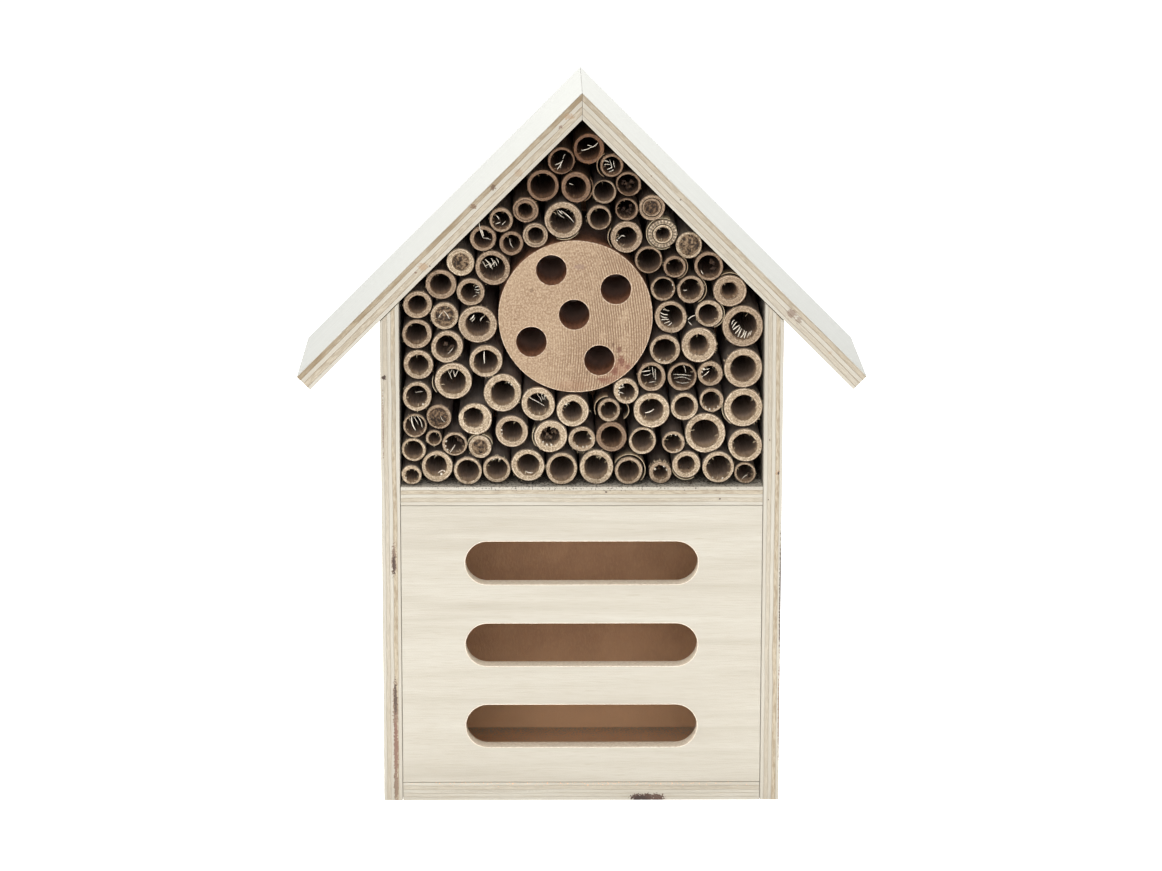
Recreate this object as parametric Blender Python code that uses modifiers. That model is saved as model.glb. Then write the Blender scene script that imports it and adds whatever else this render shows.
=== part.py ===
"""Insect hotel: a gabled plywood box with a slotted chamber below a shelf.

The open gable above the shelf holds a drilled log slice in a packing of cut
bamboo tubes. A thin back panel is nailed on, and a saw-tooth hanger at the
back takes a wall nail. Run it with blender --background --python part.py.

The front faces -Y, +X is to the right and +Z is up. The origin lies on the
underside of the base board, in the middle of the wooden body.
"""

from math import atan2, cos, hypot, pi, sin, sqrt

import bmesh
import bpy
from mathutils import Matrix, Vector

MM = 0.001

# Plywood body
BODY_WIDTH = 180 * MM
BODY_DEPTH = 90 * MM
PLY = 8.5 * MM
SHELF_TOP = 147 * MM
APEX_HEIGHT = 324.8 * MM
ROOF_LENGTH = 180 * MM      # down the slope, from the ridge to the eave
BACK_THICKNESS = 3 * MM
GAP = 0.3 * MM              # between pieces that rest on each other
WELD = 0.01 * MM            # points closer than this are one
SMOOTH_ANGLE = pi / 5       # edges sharper than this stay sharp

# Slots in the front panel
SLOT_LENGTH = 105 * MM
SLOT_HEIGHT = 20 * MM
SLOT_PITCH = 38.2 * MM
SLOT_ARC_STEPS = 12
SLOT_CUTTER_DEPTH = 3 * PLY

# Log slice and its drilled holes, in millimetres from the slice's centre
LOG_CENTRE = (-2.9 * MM, 224.2 * MM)
LOG_RADIUS = 34.5 * MM
LOG_RECESS = 2.5 * MM
LOG_SIDES = 56
LOG_HOLE_RADIUS = 6.8 * MM
LOG_HOLE_DEPTH = 68 * MM
LOG_HOLE_SIDES = 20
DRILL_ENTRY = 5 * MM        # how far in front of the log's face a drilled hole's cutter starts
LOG_HOLES_MM = ((-0.5, 0.9), (-10.7, 21.0), (18.0, 12.4), (-19.6, -11.4), (10.7, -19.8))

# Bamboo tubes
TUBE_SIDES = 12
TUBE_RECESS = 2.0 * MM      # the least depth of a tube's mouth behind the front edges
TUBE_RECESS_SPREAD = 2.8 * MM
TUBE_PLUG_DEPTH = 2.5 * MM  # how far in the pith of a filled tube starts
SPREAD_TURN = 0.618         # golden-ratio step, which spreads the recesses evenly
SETTLE_ROUNDS = 60
SETTLE_HOMING = 0.12        # the share of its way home that a tube goes in a round
THINNEST_WALL = 0.9 * MM
GLUE_WIDTH = 1.4 * MM
GLUE_LENGTH = 8 * MM
GLUE_REAR = 5 * MM          # from the tubes' rear ends
GLUE_BITE = 0.45 * MM       # how far the glue reaches into each tube's wall

# The tubes in groups that one dab of glue holds together.
# Each tube is its centre's x and z, outer diameter and bore, in millimetres.
# The fifth value, where there is one, marks a tube that is filled with pith.
# The packing as a whole lies a little right of the middle, and above the shelf.
PACKING_SHIFT_MM = (0.8, 0.6)
TUBES_MM = (
    ((-77.0, 151.4, 9.6, 6.2), (-65.7, 154.8, 14.6, 9.6)),
    ((-52.3, 152.9, 13.0, 10.0), (-39.4, 153.7, 12.6, 9.5)),
    ((-25.7, 155.4, 15.2, 10.0), (-10.3, 154.3, 14.7, 11.4)),
    ((5.8, 154.4, 15.8, 10.8), (20.3, 153.1, 12.6, 9.6)),
    ((34.5, 151.9, 10.2, 6.4), (46.2, 155.8, 12.8, 7.8)),
    ((60.6, 155.2, 14.3, 11.0), (72.3, 151.4, 10.2, 8.0)),
    ((-75.6, 162.4, 11.0, 8.5), (-75.4, 174.1, 10.8, 9.0)),
    ((-67.1, 168.1, 7.3, 5.4), (-57.9, 165.4, 11.2, 9.0)),
    ((-46.6, 163.6, 10.6, 7.0, "pith"), (-48.5, 176.9, 15.0, 9.0)),
    ((-32.2, 171.4, 14.7, 9.6), (-36.0, 188.6, 17.3, 11.0)),
    ((-14.8, 168.9, 14.9, 8.6), (-0.7, 167.3, 12.2, 8.2)),
    ((12.4, 168.8, 13.8, 9.4), (11.4, 181.0, 10.6, 7.6)),
    ((26.5, 166.6, 12.6, 10.0), (30.4, 180.7, 16.2, 10.4)),
    ((40.3, 166.3, 10.2, 7.8), (54.5, 170.1, 18.2, 12.6)),
    ((72.7, 164.3, 15.7, 11.0), (71.9, 181.3, 17.8, 11.4)),
    ((-64.9, 177.8, 11.4, 9.0, "pith"), (-74.4, 187.4, 13.5, 9.8)),
    ((-20.6, 183.7, 15.6, 10.2), (-4.9, 180.7, 14.7, 9.0)),
    ((45.3, 182.5, 12.6, 9.0), (44.5, 196.1, 13.5, 10.6)),
    ((57.2, 185.6, 11.0, 8.2), (57.6, 197.8, 12.0, 7.4)),
    ((18.9, 189.5, 11.8, 7.6), (31.2, 196.3, 13.2, 9.9)),
    ((-58.3, 194.3, 16.7, 11.4), (-60.9, 210.1, 14.8, 10.0)),
    ((-73.8, 201.5, 13.5, 9.0), (-74.3, 215.8, 13.5, 9.6)),
    ((-43.6, 203.5, 14.9, 10.6), (-47.5, 220.0, 17.4, 10.8)),
    ((51.6, 211.0, 16.2, 9.4),),
    ((36.4, 209.1, 13.8, 10.2), (38.3, 224.4, 15.1, 10.6)),
    ((72.7, 200.2, 18.2, 11.8), (72.0, 219.5, 18.9, 12.6)),
    ((-61.8, 223.5, 12.4, 9.2, "pith"), (-73.6, 229.1, 13.0, 8.4)),
    ((-63.2, 237.7, 13.9, 9.4), (-50.5, 235.1, 12.6, 8.6)),
    ((56.6, 224.8, 12.8, 8.8), (67.3, 235.8, 15.4, 7.8)),
    ((34.2, 237.0, 12.1, 9.0), (47.2, 235.6, 12.7, 9.4)),
    ((-40.5, 245.6, 16.0, 11.4), (-54.3, 248.1, 12.6, 7.6, "pith")),
    ((28.2, 248.3, 12.9, 10.4), (40.1, 247.3, 11.4, 7.6)),
    ((48.4, 257.2, 12.5, 9.4, "pith"), (56.4, 248.3, 13.0, 10.2)),
    ((-44.5, 258.5, 11.6, 8.2), (-32.3, 256.2, 10.9, 7.6)),
    ((-21.4, 260.3, 11.2, 7.0), (-9.2, 267.5, 16.8, 11.4)),
    ((17.6, 259.3, 14.8, 9.2), (19.8, 272.2, 10.8, 8.6)),
    ((35.2, 259.9, 13.8, 6.4), (32.2, 272.8, 11.6, 6.2, "pith")),
    ((-36.6, 267.2, 11.0, 8.2), (-25.8, 271.4, 11.6, 6.4)),
    ((6.8, 268.4, 11.2, 8.9), (9.0, 279.7, 11.1, 9.2)),
    ((-18.1, 282.4, 14.1, 11.0), (-3.4, 282.6, 14.2, 9.6)),
    ((20.8, 283.9, 11.7, 9.4), (12.6, 291.6, 10.4, 8.2)),
    ((-8.8, 294.9, 12.6, 10.4), (3.4, 299.9, 14.2, 10.4)),
)

# Nails
NAIL_SHANK_RADIUS = 0.75 * MM
NAIL_HEAD_RADIUS = 1.8 * MM
NAIL_HEAD_THICKNESS = 0.7 * MM
NAIL_LENGTH = 15 * MM
NAIL_SIDES = 10
NAIL_HEAD_ROOM = 2 * MM     # the hole's length above the nail's head
NAIL_FLUSH_DEPTH = 0.05 * MM
PANEL_NAIL_HEIGHTS = (14 * MM, 112 * MM, 208 * MM)

# Saw-tooth hanger on the back of the ridge
HANGER_LENGTH = 42 * MM
HANGER_HEIGHT = 7 * MM
HANGER_THICKNESS = 0.8 * MM
HANGER_RISE = 2.4 * MM
HANGER_FOOT = 8 * MM        # the flat end that lies on the roof board
HANGER_RAMP = 2.5 * MM
HANGER_TOOTH = 1.6 * MM
HANGER_TEETH = 7
HANGER_Z = 299 * MM
HANGER_NAIL_X = 18 * MM
HANGER_DRILL_LENGTH = 5 * MM

# What follows from these
FRONT_Y = -BODY_DEPTH / 2
REAR_Y = BODY_DEPTH / 2
BACK_Y = REAR_Y - BACK_THICKNESS
BOARD_REAR_Y = BACK_Y - GAP
HALF_WIDTH = BODY_WIDTH / 2
INNER_HALF = HALF_WIDTH - PLY
RIDGE_UNDERSIDE = APEX_HEIGHT - PLY * sqrt(2)
SLOPE_GAP = GAP * sqrt(2)
EAVE_DROP = ROOF_LENGTH / sqrt(2)
EAVE_EDGE = PLY / sqrt(2)


def clear_scene():
    for item in list(bpy.data.objects):
        bpy.data.objects.remove(item, do_unlink=True)


def new_collection(name):
    collection = bpy.data.collections.new(name)
    bpy.context.scene.collection.children.link(collection)
    return collection


def new_material(name, colour, roughness, metallic=0.0):
    material = bpy.data.materials.new(name)
    material.use_nodes = True
    shader = material.node_tree.nodes["Principled BSDF"]
    shader.inputs["Base Color"].default_value = (*colour, 1.0)
    shader.inputs["Roughness"].default_value = roughness
    shader.inputs["Metallic"].default_value = metallic
    material.diffuse_color = (*colour, 1.0)
    return material


clear_scene()
PARTS = new_collection("insect_hotel")
CUTTERS = new_collection("insect_hotel_cutters")
ROOT = bpy.data.objects.new("insect_hotel_origin", None)
PARTS.objects.link(ROOT)

PLYWOOD = new_material("poplar_plywood", (0.80, 0.74, 0.62), 0.7)
HARDBOARD = new_material("brown_hardboard", (0.30, 0.19, 0.11), 0.75)
LOG_WOOD = new_material("log_wood", (0.62, 0.45, 0.31), 0.75)
BAMBOO = new_material("bamboo", (0.52, 0.41, 0.28), 0.65)
STEEL = new_material("zinc_plated_steel", (0.62, 0.62, 0.60), 0.35, 1.0)


def place(name, mesh, material, location=(0, 0, 0)):
    """A part of the hotel, in its own named object."""
    part = bpy.data.objects.new(name, mesh)
    part.location = location
    part.parent = ROOT
    mesh.materials.clear()
    mesh.materials.append(material)
    PARTS.objects.link(part)
    return part


def helper(name, mesh, location=(0, 0, 0)):
    """A solid that cuts or joins a part, and isn't one itself."""
    solid = bpy.data.objects.new(name, mesh)
    solid.location = location
    solid.hide_render = True
    solid.display_type = "WIRE"
    CUTTERS.objects.link(solid)
    return solid


def combine(part, solid, operation):
    modifier = part.modifiers.new(solid.name, "BOOLEAN")
    modifier.operation = operation
    modifier.solver = "EXACT"
    modifier.object = solid


def mesh_from(name, form, closed=True):
    if closed:
        bmesh.ops.recalc_face_normals(form, faces=form.faces)
    mesh = bpy.data.meshes.new(name)
    form.to_mesh(mesh)
    form.free()
    return mesh


def outline_mesh(name, outline, thickness):
    """A flat outline in x and z, thickened along y about y = 0."""
    curve = bpy.data.curves.new(name, "CURVE")
    curve.dimensions = "2D"
    curve.fill_mode = "BOTH"
    curve.extrude = thickness / 2
    spline = curve.splines.new("POLY")
    spline.points.add(len(outline) - 1)
    for point, (x, z) in zip(spline.points, outline):
        point.co = (x, z, 0, 1)
    spline.use_cyclic_u = True
    drawn = bpy.data.objects.new(name, curve)
    PARTS.objects.link(drawn)
    bpy.context.view_layer.update()
    filled = drawn.evaluated_get(bpy.context.evaluated_depsgraph_get())
    mesh = bpy.data.meshes.new_from_object(filled)
    bpy.data.objects.remove(drawn, do_unlink=True)

    form = bmesh.new()
    form.from_mesh(mesh)
    bpy.data.meshes.remove(mesh)
    bmesh.ops.remove_doubles(form, verts=form.verts, dist=WELD)
    bmesh.ops.rotate(form, verts=form.verts, matrix=Matrix.Rotation(pi / 2, 3, "X"))
    return mesh_from(name, form)


def board(name, outline, front, rear, material):
    mesh = outline_mesh(name, outline, rear - front)
    return place(name, mesh, material, (0, (front + rear) / 2, 0))


def rectangle(left, bottom, right, top):
    return [(left, bottom), (right, bottom), (right, top), (left, top)]


def mirrored(outline, side):
    """The outline on the right (side 1) or its mirror image on the left (side -1)."""
    return [(side * x, z) for x, z in outline]


def turned_mesh(name, profile, sides, first_angle=0.0):
    """A profile of radius and y turned round the y axis; an open profile ends on it."""
    form = bmesh.new()
    turn = Matrix.Rotation(-first_angle, 3, "Y")
    points = [form.verts.new(turn @ Vector((radius, y, 0))) for radius, y in profile]
    edges = [form.edges.new(pair) for pair in zip(points, points[1:])]
    if profile[0][0] > 0:
        edges.append(form.edges.new((points[-1], points[0])))
    bmesh.ops.spin(
        form, geom=points + edges, cent=(0, 0, 0), axis=(0, 1, 0), angle=2 * pi, steps=sides,
        use_merge=True,
    )
    bmesh.ops.remove_doubles(form, verts=form.verts, dist=WELD)
    mesh = mesh_from(name, form)
    mesh.shade_smooth()
    mesh.set_sharp_from_angle(angle=SMOOTH_ANGLE)
    return mesh


def stadium(length, height):
    """A slot's outline about its centre: two straight sides and two half circles."""
    radius = height / 2
    centre = length / 2 - radius
    outline = []
    for side, start in ((1, -pi / 2), (-1, pi / 2)):
        for step in range(SLOT_ARC_STEPS + 1):
            angle = start + pi * step / SLOT_ARC_STEPS
            outline.append((side * centre + radius * cos(angle), radius * sin(angle)))
    return outline


def nail_profile(head_y, clearance=0.0, head_room=0.0):
    """A nail driven towards -Y: its head's flat top is at head_y."""
    neck_y = head_y - NAIL_HEAD_THICKNESS - clearance
    tip_y = head_y - NAIL_LENGTH - clearance
    head = NAIL_HEAD_RADIUS + clearance
    shank = NAIL_SHANK_RADIUS + clearance
    return [
        (0, head_y + head_room), (head, head_y + head_room), (head, neck_y),
        (shank, neck_y), (shank, tip_y + NAIL_SHANK_RADIUS), (0, tip_y),
    ]


def nail(name, x, z, head_y, into):
    """A nail in its own hole through the parts that it holds."""
    place(name, turned_mesh(name, nail_profile(head_y), NAIL_SIDES), STEEL, (x, 0, z))
    hole = turned_mesh(name + "_hole", nail_profile(head_y, GAP, NAIL_HEAD_ROOM), NAIL_SIDES)
    cutter = helper(name + "_hole", hole, (x, 0, z))
    for part in into:
        combine(part, cutter, "DIFFERENCE")


def make_walls():
    """The side walls, with tops bevelled to the roof's underside."""
    outline = [
        (INNER_HALF, 0), (HALF_WIDTH, 0),
        (HALF_WIDTH, RIDGE_UNDERSIDE - HALF_WIDTH - SLOPE_GAP),
        (INNER_HALF, RIDGE_UNDERSIDE - INNER_HALF - SLOPE_GAP),
    ]
    return {
        side: board(name, mirrored(outline, side), FRONT_Y, BOARD_REAR_Y, PLYWOOD)
        for name, side in (("left_wall", -1), ("right_wall", 1))
    }


def make_roof():
    """Two boards, mitred upright at the ridge and cut square at the eaves."""
    mitre_x = GAP / 2
    outline = [
        (mitre_x, RIDGE_UNDERSIDE - mitre_x), (mitre_x, APEX_HEIGHT - mitre_x),
        (EAVE_DROP, APEX_HEIGHT - EAVE_DROP),
        (EAVE_DROP - EAVE_EDGE, APEX_HEIGHT - EAVE_DROP - EAVE_EDGE),
    ]
    return {
        side: board(name, mirrored(outline, side), FRONT_Y, REAR_Y, PLYWOOD)
        for name, side in (("roof_left", -1), ("roof_right", 1))
    }


def make_floors():
    """The base board and the shelf, both between the walls."""
    reach = INNER_HALF - GAP
    base = rectangle(-reach, 0, reach, PLY)
    shelf = rectangle(-reach, SHELF_TOP - PLY, reach, SHELF_TOP)
    board("base_board", base, FRONT_Y, BOARD_REAR_Y, PLYWOOD)
    board("shelf", shelf, FRONT_Y, BOARD_REAR_Y, PLYWOOD)


def make_front_panel():
    """The panel in front of the lower chamber, with its three long slots."""
    reach = INNER_HALF - GAP
    bottom = PLY + GAP
    top = SHELF_TOP - PLY - GAP
    outline = rectangle(-reach, bottom, reach, top)
    panel = board("front_panel", outline, FRONT_Y, FRONT_Y + PLY, PLYWOOD)
    slot = outline_mesh("slot", stadium(SLOT_LENGTH, SLOT_HEIGHT), SLOT_CUTTER_DEPTH)
    for row in (-1, 0, 1):
        height = (bottom + top) / 2 + row * SLOT_PITCH
        combine(panel, helper("slot_cutter", slot, (0, FRONT_Y + PLY / 2, height)), "DIFFERENCE")


def make_back_panel():
    """The thin panel on the rear edges of the walls, shelf and base, under the roof."""
    outline = [
        (-HALF_WIDTH, 0), (HALF_WIDTH, 0),
        (HALF_WIDTH, RIDGE_UNDERSIDE - HALF_WIDTH - SLOPE_GAP),
        (0, RIDGE_UNDERSIDE - SLOPE_GAP),
        (-HALF_WIDTH, RIDGE_UNDERSIDE - HALF_WIDTH - SLOPE_GAP),
    ]
    return board("back_panel", outline, BACK_Y, REAR_Y, HARDBOARD)


def make_log():
    """The log slice, drilled from the front with blind holes."""
    centre_x, centre_z = LOG_CENTRE
    front = FRONT_Y + LOG_RECESS
    rear = BACK_Y - GAP
    profile = [(0, front), (LOG_RADIUS, front), (LOG_RADIUS, rear), (0, rear)]
    log = place("log_slice", turned_mesh("log_slice", profile, LOG_SIDES), LOG_WOOD,
                (centre_x, 0, centre_z))
    entry = front - DRILL_ENTRY
    floor = front + LOG_HOLE_DEPTH
    drill = turned_mesh(
        "drill",
        [(0, entry), (LOG_HOLE_RADIUS, entry), (LOG_HOLE_RADIUS, floor), (0, floor)],
        LOG_HOLE_SIDES,
    )
    for x, z in LOG_HOLES_MM:
        cutter = helper("log_drill", drill, (centre_x + x * MM, 0, centre_z + z * MM))
        combine(log, cutter, "DIFFERENCE")


class Tube:
    """A cut piece of bamboo, by the centre of its round section, in metres."""

    def __init__(self, number, x, z, outer, bore, filling=None):
        self.x = self.home_x = (x + PACKING_SHIFT_MM[0]) * MM
        self.z = self.home_z = (z + PACKING_SHIFT_MM[1]) * MM
        self.radius = outer / 2 * MM
        self.bore = bore / 2 * MM
        self.filled = filling is not None
        self.recess = TUBE_RECESS + TUBE_RECESS_SPREAD * (number * SPREAD_TURN % 1)

    def shift(self, x, z):
        self.x += x
        self.z += z

    def go_home(self):
        """A small step back to where the tube was laid."""
        self.shift((self.home_x - self.x) * SETTLE_HOMING, (self.home_z - self.z) * SETTLE_HOMING)

    def away_from(self, x, z, reach):
        """How far the tube has to go, and in which direction, to clear a circle."""
        across, up = self.x - x, self.z - z
        distance = hypot(across, up)
        short = reach + self.radius + GAP - distance
        return short, across / distance, up / distance

    def stay_inside(self):
        """Moved off the walls, the shelf, the log and the roof boards."""
        room = INNER_HALF - GAP - self.radius
        self.x = max(-room, min(room, self.x))
        self.z = max(SHELF_TOP + GAP + self.radius, self.z)
        short, across, up = self.away_from(*LOG_CENTRE, LOG_RADIUS)
        if short > 0:
            self.shift(across * short, up * short)
        for side in (-1, 1):
            ceiling = RIDGE_UNDERSIDE - sqrt(2) * (self.radius + GAP)
            excess = side * self.x + self.z - ceiling
            if excess > 0:
                self.shift(-side * excess / 2, -excess / 2)

    def thin_to(self, radius):
        self.radius = min(self.radius, radius)
        self.bore = min(self.bore, self.radius - THINNEST_WALL)

    def room_around(self):
        """The largest radius that clears the boards and the log from here."""
        log_x, log_z = LOG_CENTRE
        return min(
            INNER_HALF - abs(self.x),
            self.z - SHELF_TOP,
            (RIDGE_UNDERSIDE - abs(self.x) - self.z) / sqrt(2),
            hypot(self.x - log_x, self.z - log_z) - LOG_RADIUS,
        ) - GAP


def settle(tubes):
    """Push the tubes a little apart, then thin those that still have no gap."""
    pairs = [(a, b) for number, a in enumerate(tubes) for b in tubes[:number]]
    for _ in range(SETTLE_ROUNDS):
        for tube in tubes:
            tube.go_home()
        for a, b in pairs:
            short, across, up = a.away_from(b.x, b.z, b.radius)
            if short > 0:
                a.shift(across * short / 2, up * short / 2)
                b.shift(-across * short / 2, -up * short / 2)
        for tube in tubes:
            tube.stay_inside()
    for tube in tubes:
        tube.thin_to(tube.room_around())
    for a, b in pairs:
        short = a.away_from(b.x, b.z, b.radius)[0]
        if short > 0:
            a.thin_to(a.radius - short / 2)
            b.thin_to(b.radius - short / 2)


def tube_mesh(name, tube, facing):
    """One tube about its own axis, with a flat side turned to the angle facing."""
    front = FRONT_Y + tube.recess
    rear = BACK_Y - GAP
    if tube.filled:
        plug = front + TUBE_PLUG_DEPTH
        profile = [
            (0, plug), (tube.bore, plug), (tube.bore, front),
            (tube.radius, front), (tube.radius, rear), (0, rear),
        ]
    else:
        profile = [
            (tube.bore, rear), (tube.bore, front), (tube.radius, front), (tube.radius, rear),
        ]
    return turned_mesh(name, profile, TUBE_SIDES, facing + pi / TUBE_SIDES)


def glue_between(name, a, b):
    """The dab of glue that joins two tubes near their rear ends."""
    across, up = b.x - a.x, b.z - a.z
    distance = hypot(across, up)
    flat = cos(pi / TUBE_SIDES)
    start = a.radius * flat - GLUE_BITE
    end = distance - b.radius * flat + GLUE_BITE
    rear = BACK_Y - GAP - GLUE_REAR
    form = bmesh.new()
    bmesh.ops.create_cube(form, size=1)
    bmesh.ops.scale(form, verts=form.verts, vec=(end - start, GLUE_LENGTH, GLUE_WIDTH))
    dab = helper(name, mesh_from(name, form))
    middle = (start + end) / 2 / distance
    dab.location = (a.x + across * middle, rear - GLUE_LENGTH / 2, a.z + up * middle)
    dab.rotation_euler = (0, -atan2(up, across), 0)
    return dab


def make_tube_group(number, group):
    """A lone tube, or two neighbours and the glue between them, as one solid."""
    name = f"tube_group_{number:02d}"
    first = group[0]
    second = group[-1]
    facing = atan2(second.z - first.z, second.x - first.x)
    part = place(name, tube_mesh(name, first, facing), BAMBOO, (first.x, 0, first.z))
    if second is not first:
        partner_mesh = tube_mesh(name + "_partner", second, facing + pi)
        partner = helper(name + "_partner", partner_mesh, (second.x, 0, second.z))
        combine(part, glue_between(name + "_glue", first, second), "UNION")
        combine(part, partner, "UNION")


def make_tubes():
    groups = []
    tubes = []
    for row in TUBES_MM:
        group = [Tube(number, *sizes) for number, sizes in enumerate(row, len(tubes))]
        tubes += group
        groups.append(group)
    settle(tubes)
    for number, group in enumerate(groups, 1):
        make_tube_group(number, group)


def hanger_mesh():
    """A strip that stands off the back between two flat feet, saw-toothed below."""
    half = HANGER_LENGTH / 2
    inner = half - HANGER_FOOT
    flat = inner - HANGER_RAMP
    low = -HANGER_HEIGHT / 2
    columns = [(-half, 0, low), (-inner, 0, low), (-flat, HANGER_RISE, low)]
    spacing = 2 * flat / (2 * HANGER_TEETH)
    for step in range(1, 2 * HANGER_TEETH):
        columns.append((-flat + spacing * step, HANGER_RISE, low + HANGER_TOOTH * (step % 2)))
    columns += [(flat, HANGER_RISE, low), (inner, 0, low), (half, 0, low)]
    form = bmesh.new()
    rails = [
        (form.verts.new((x, y, bottom)), form.verts.new((x, y, -low)))
        for x, y, bottom in columns
    ]
    for (low_a, high_a), (low_b, high_b) in zip(rails, rails[1:]):
        form.faces.new((low_a, high_a, high_b, low_b))
    return mesh_from("hanger", form, closed=False)


def make_hanger(roof):
    """The hanger, nailed to the rear edges of the two roof boards."""
    rest_y = REAR_Y + GAP
    hanger = place("hanger", hanger_mesh(), STEEL, (0, rest_y, HANGER_Z))
    thicken = hanger.modifiers.new("thickness", "SOLIDIFY")
    thicken.thickness = HANGER_THICKNESS
    thicken.offset = 1
    head_y = rest_y + HANGER_THICKNESS + GAP + NAIL_HEAD_THICKNESS
    for name, side in (("hanger_nail_left", -1), ("hanger_nail_right", 1)):
        nail(name, side * HANGER_NAIL_X, HANGER_Z, head_y, [roof[side]])
        radius = NAIL_SHANK_RADIUS + GAP
        start = REAR_Y - GAP
        end = REAR_Y + HANGER_DRILL_LENGTH
        shank = [(0, start), (radius, start), (radius, end), (0, end)]
        drill = turned_mesh("hanger_drill", shank, NAIL_SIDES)
        cutter = helper("hanger_drill", drill, (side * HANGER_NAIL_X, 0, HANGER_Z))
        combine(hanger, cutter, "DIFFERENCE")


def nail_back_panel(panel, walls):
    """Three flush nails down each side, through the panel into the wall's rear edge."""
    for side_name, side in (("left", -1), ("right", 1)):
        x = side * (INNER_HALF + PLY / 2)
        for row, height in enumerate(PANEL_NAIL_HEIGHTS, 1):
            name = f"back_nail_{side_name}_{row}"
            nail(name, x, height, REAR_Y - NAIL_FLUSH_DEPTH, [panel, walls[side]])


wall_boards = make_walls()
roof_boards = make_roof()
make_floors()
make_front_panel()
back_board = make_back_panel()
make_log()
make_tubes()
make_hanger(roof_boards)
nail_back_panel(back_board, wall_boards)
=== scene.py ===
"""The insect hotel's looks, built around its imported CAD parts."""

from math import cos, hypot, pi, radians, sin
from random import Random

import bmesh
import bpy
from mathutils import Matrix, Vector, noise


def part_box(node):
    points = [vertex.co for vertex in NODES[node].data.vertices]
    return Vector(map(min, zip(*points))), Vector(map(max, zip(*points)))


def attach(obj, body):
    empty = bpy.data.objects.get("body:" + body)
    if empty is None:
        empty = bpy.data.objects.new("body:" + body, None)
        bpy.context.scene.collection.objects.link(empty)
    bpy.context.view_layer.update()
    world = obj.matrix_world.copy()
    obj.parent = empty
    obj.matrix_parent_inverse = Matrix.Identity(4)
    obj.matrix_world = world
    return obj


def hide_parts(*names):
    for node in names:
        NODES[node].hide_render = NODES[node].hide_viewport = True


MM = 0.001
SIDEWAYS = (1, 0, 0)
BACKWARDS = (0, 1, 0)
UP = (0, 0, 1)

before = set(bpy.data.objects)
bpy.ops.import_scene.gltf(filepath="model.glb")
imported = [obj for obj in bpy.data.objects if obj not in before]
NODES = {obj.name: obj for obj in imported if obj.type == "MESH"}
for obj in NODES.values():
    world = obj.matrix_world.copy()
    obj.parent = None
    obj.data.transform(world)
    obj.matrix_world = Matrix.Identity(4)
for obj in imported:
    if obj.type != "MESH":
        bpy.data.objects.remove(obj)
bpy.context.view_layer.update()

# Boards
EDGE_ROUNDING = 0.35 * MM
THIN_EDGE_ROUNDING = 0.15 * MM
SLOT_EDGE_ROUNDING = 0.28 * MM
JOINT_CLOSING = 0.12 * MM       # how much of the gap to its neighbours a board fills
SHARP_ANGLE = radians(28)
PLY_THICKNESS = 8.5             # in millimetres, as the materials measure
PLY_LAYERS = (0.19, 0.4, 0.6, 0.81)     # where the plies meet, as shares of the thickness
GLUE_LINE = 0.022                       # half a glue line's width, as such a share
GLUE = (0.40, 0.325, 0.225)
ROOF_GLUE = (0.30, 0.20, 0.11)
PLY_STAIN = (0.22, 0.155, 0.08)
BLEACHED = (0.47, 0.485, 0.47)
RIDGE_JOINT = 0.05 * MM         # from the ridge's middle to each roof board
CORNER_STEPS = 3
SLOT_STEPS = 36
NAIL_STEPS = 20
NAIL_ROOM = 0.3 * MM
SLOT_MARGIN = 5 * MM            # the slots lie further than this inside the panel's edges

# Marks: a mark fades between these distances, as shares of its reach with its raggedness
MARK_FADE = 1.9
MARK_END = 2.15

# Log slice
LOG_STEPS = 140
LOG_WAVE = 0.15 * MM
LOG_PITH = (-118, 0, -14)       # from the slice's centre, in millimetres
STAIN_DEPTH = 30                # how far the log's stains reach in, in millimetres
HOLE_STOP = 2 * MM              # the holes end further than this from the slice's rear
RIM_MARGIN = 0.5 * MM           # the holes' rims lie further than this inside the slice's
RIM_SPACING = 3 * MM            # corners of one hole's rim are closer together than this
HOLE_STEPS = 48
HOLE_WAVE = 0.06 * MM

# Bamboo
TUBE_STEPS = 48
TUBE_SHARP_ANGLE = radians(50)
MOUTH_DEPTH = 10 * MM           # how far behind the front edges a mouth may lie
LEVEL_TOLERANCE = 6 * MM        # a pair with less height between its tubes is level
SKIN_WAVE = 0.12 * MM
SKIN_ROUNDING = 0.3 * MM
SKIN_RINGS = (                  # depth, how much of the bamboo's colour shows over the grey painted light deep in the gaps, and how much painted shade darkens it
    (100 * MM, 0.0, 0.0), (40 * MM, 0.0, 0.0), (14 * MM, 0.2, 0.3), (6 * MM, 0.6, 0.8),
    (3 * MM, 0.8, 1.0), (1.3 * MM, 0.9, 1.0), (0.5 * MM, 1.0, 0.5),
)
BORE_RINGS = (                  # depth and how much painted light pales the bore's wall
    (0.3 * MM, 0.0), (1.2 * MM, 0.03), (3 * MM, 0.12), (6 * MM, 0.45), (10 * MM, 0.85),
    (18 * MM, 1.0), (45 * MM, 1.0), (100 * MM, 1.0),
)
END_RINGS = (1.0, 0.86, 0.6, 0.35, 0.12)    # across the sawn end, from the skin in
PITH_RINGS = (0.92, 0.72, 0.5, 0.27, 0.08)  # across a filled bore, from its wall in
PLUG_DEPTH = 2 * MM             # the bore of a filled tube is no deeper than this
RAGGED_DEPTH = 3 * MM           # the bore's torn rim has halved this far in
FUNNEL_DEPTH = 4 * MM
GROOVE_DEPTH = 0.9 * MM
TOOTH_DEPTH = 0.35 * MM
SLIVER_STEPS = 6
SLIVER_WIDENING = 0.74
LUMP_SIDES = 6
LUMP_PROFILE = ((-0.9, 0.35), (-0.4, 0.95), (0.35, 1.0), (0.85, 0.4))   # height and reach
LUMP_CLUSTER = 7
# how much painted shade darkens the lumps of pith deep in the bores
LUMP_SHADE = 0.55
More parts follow.
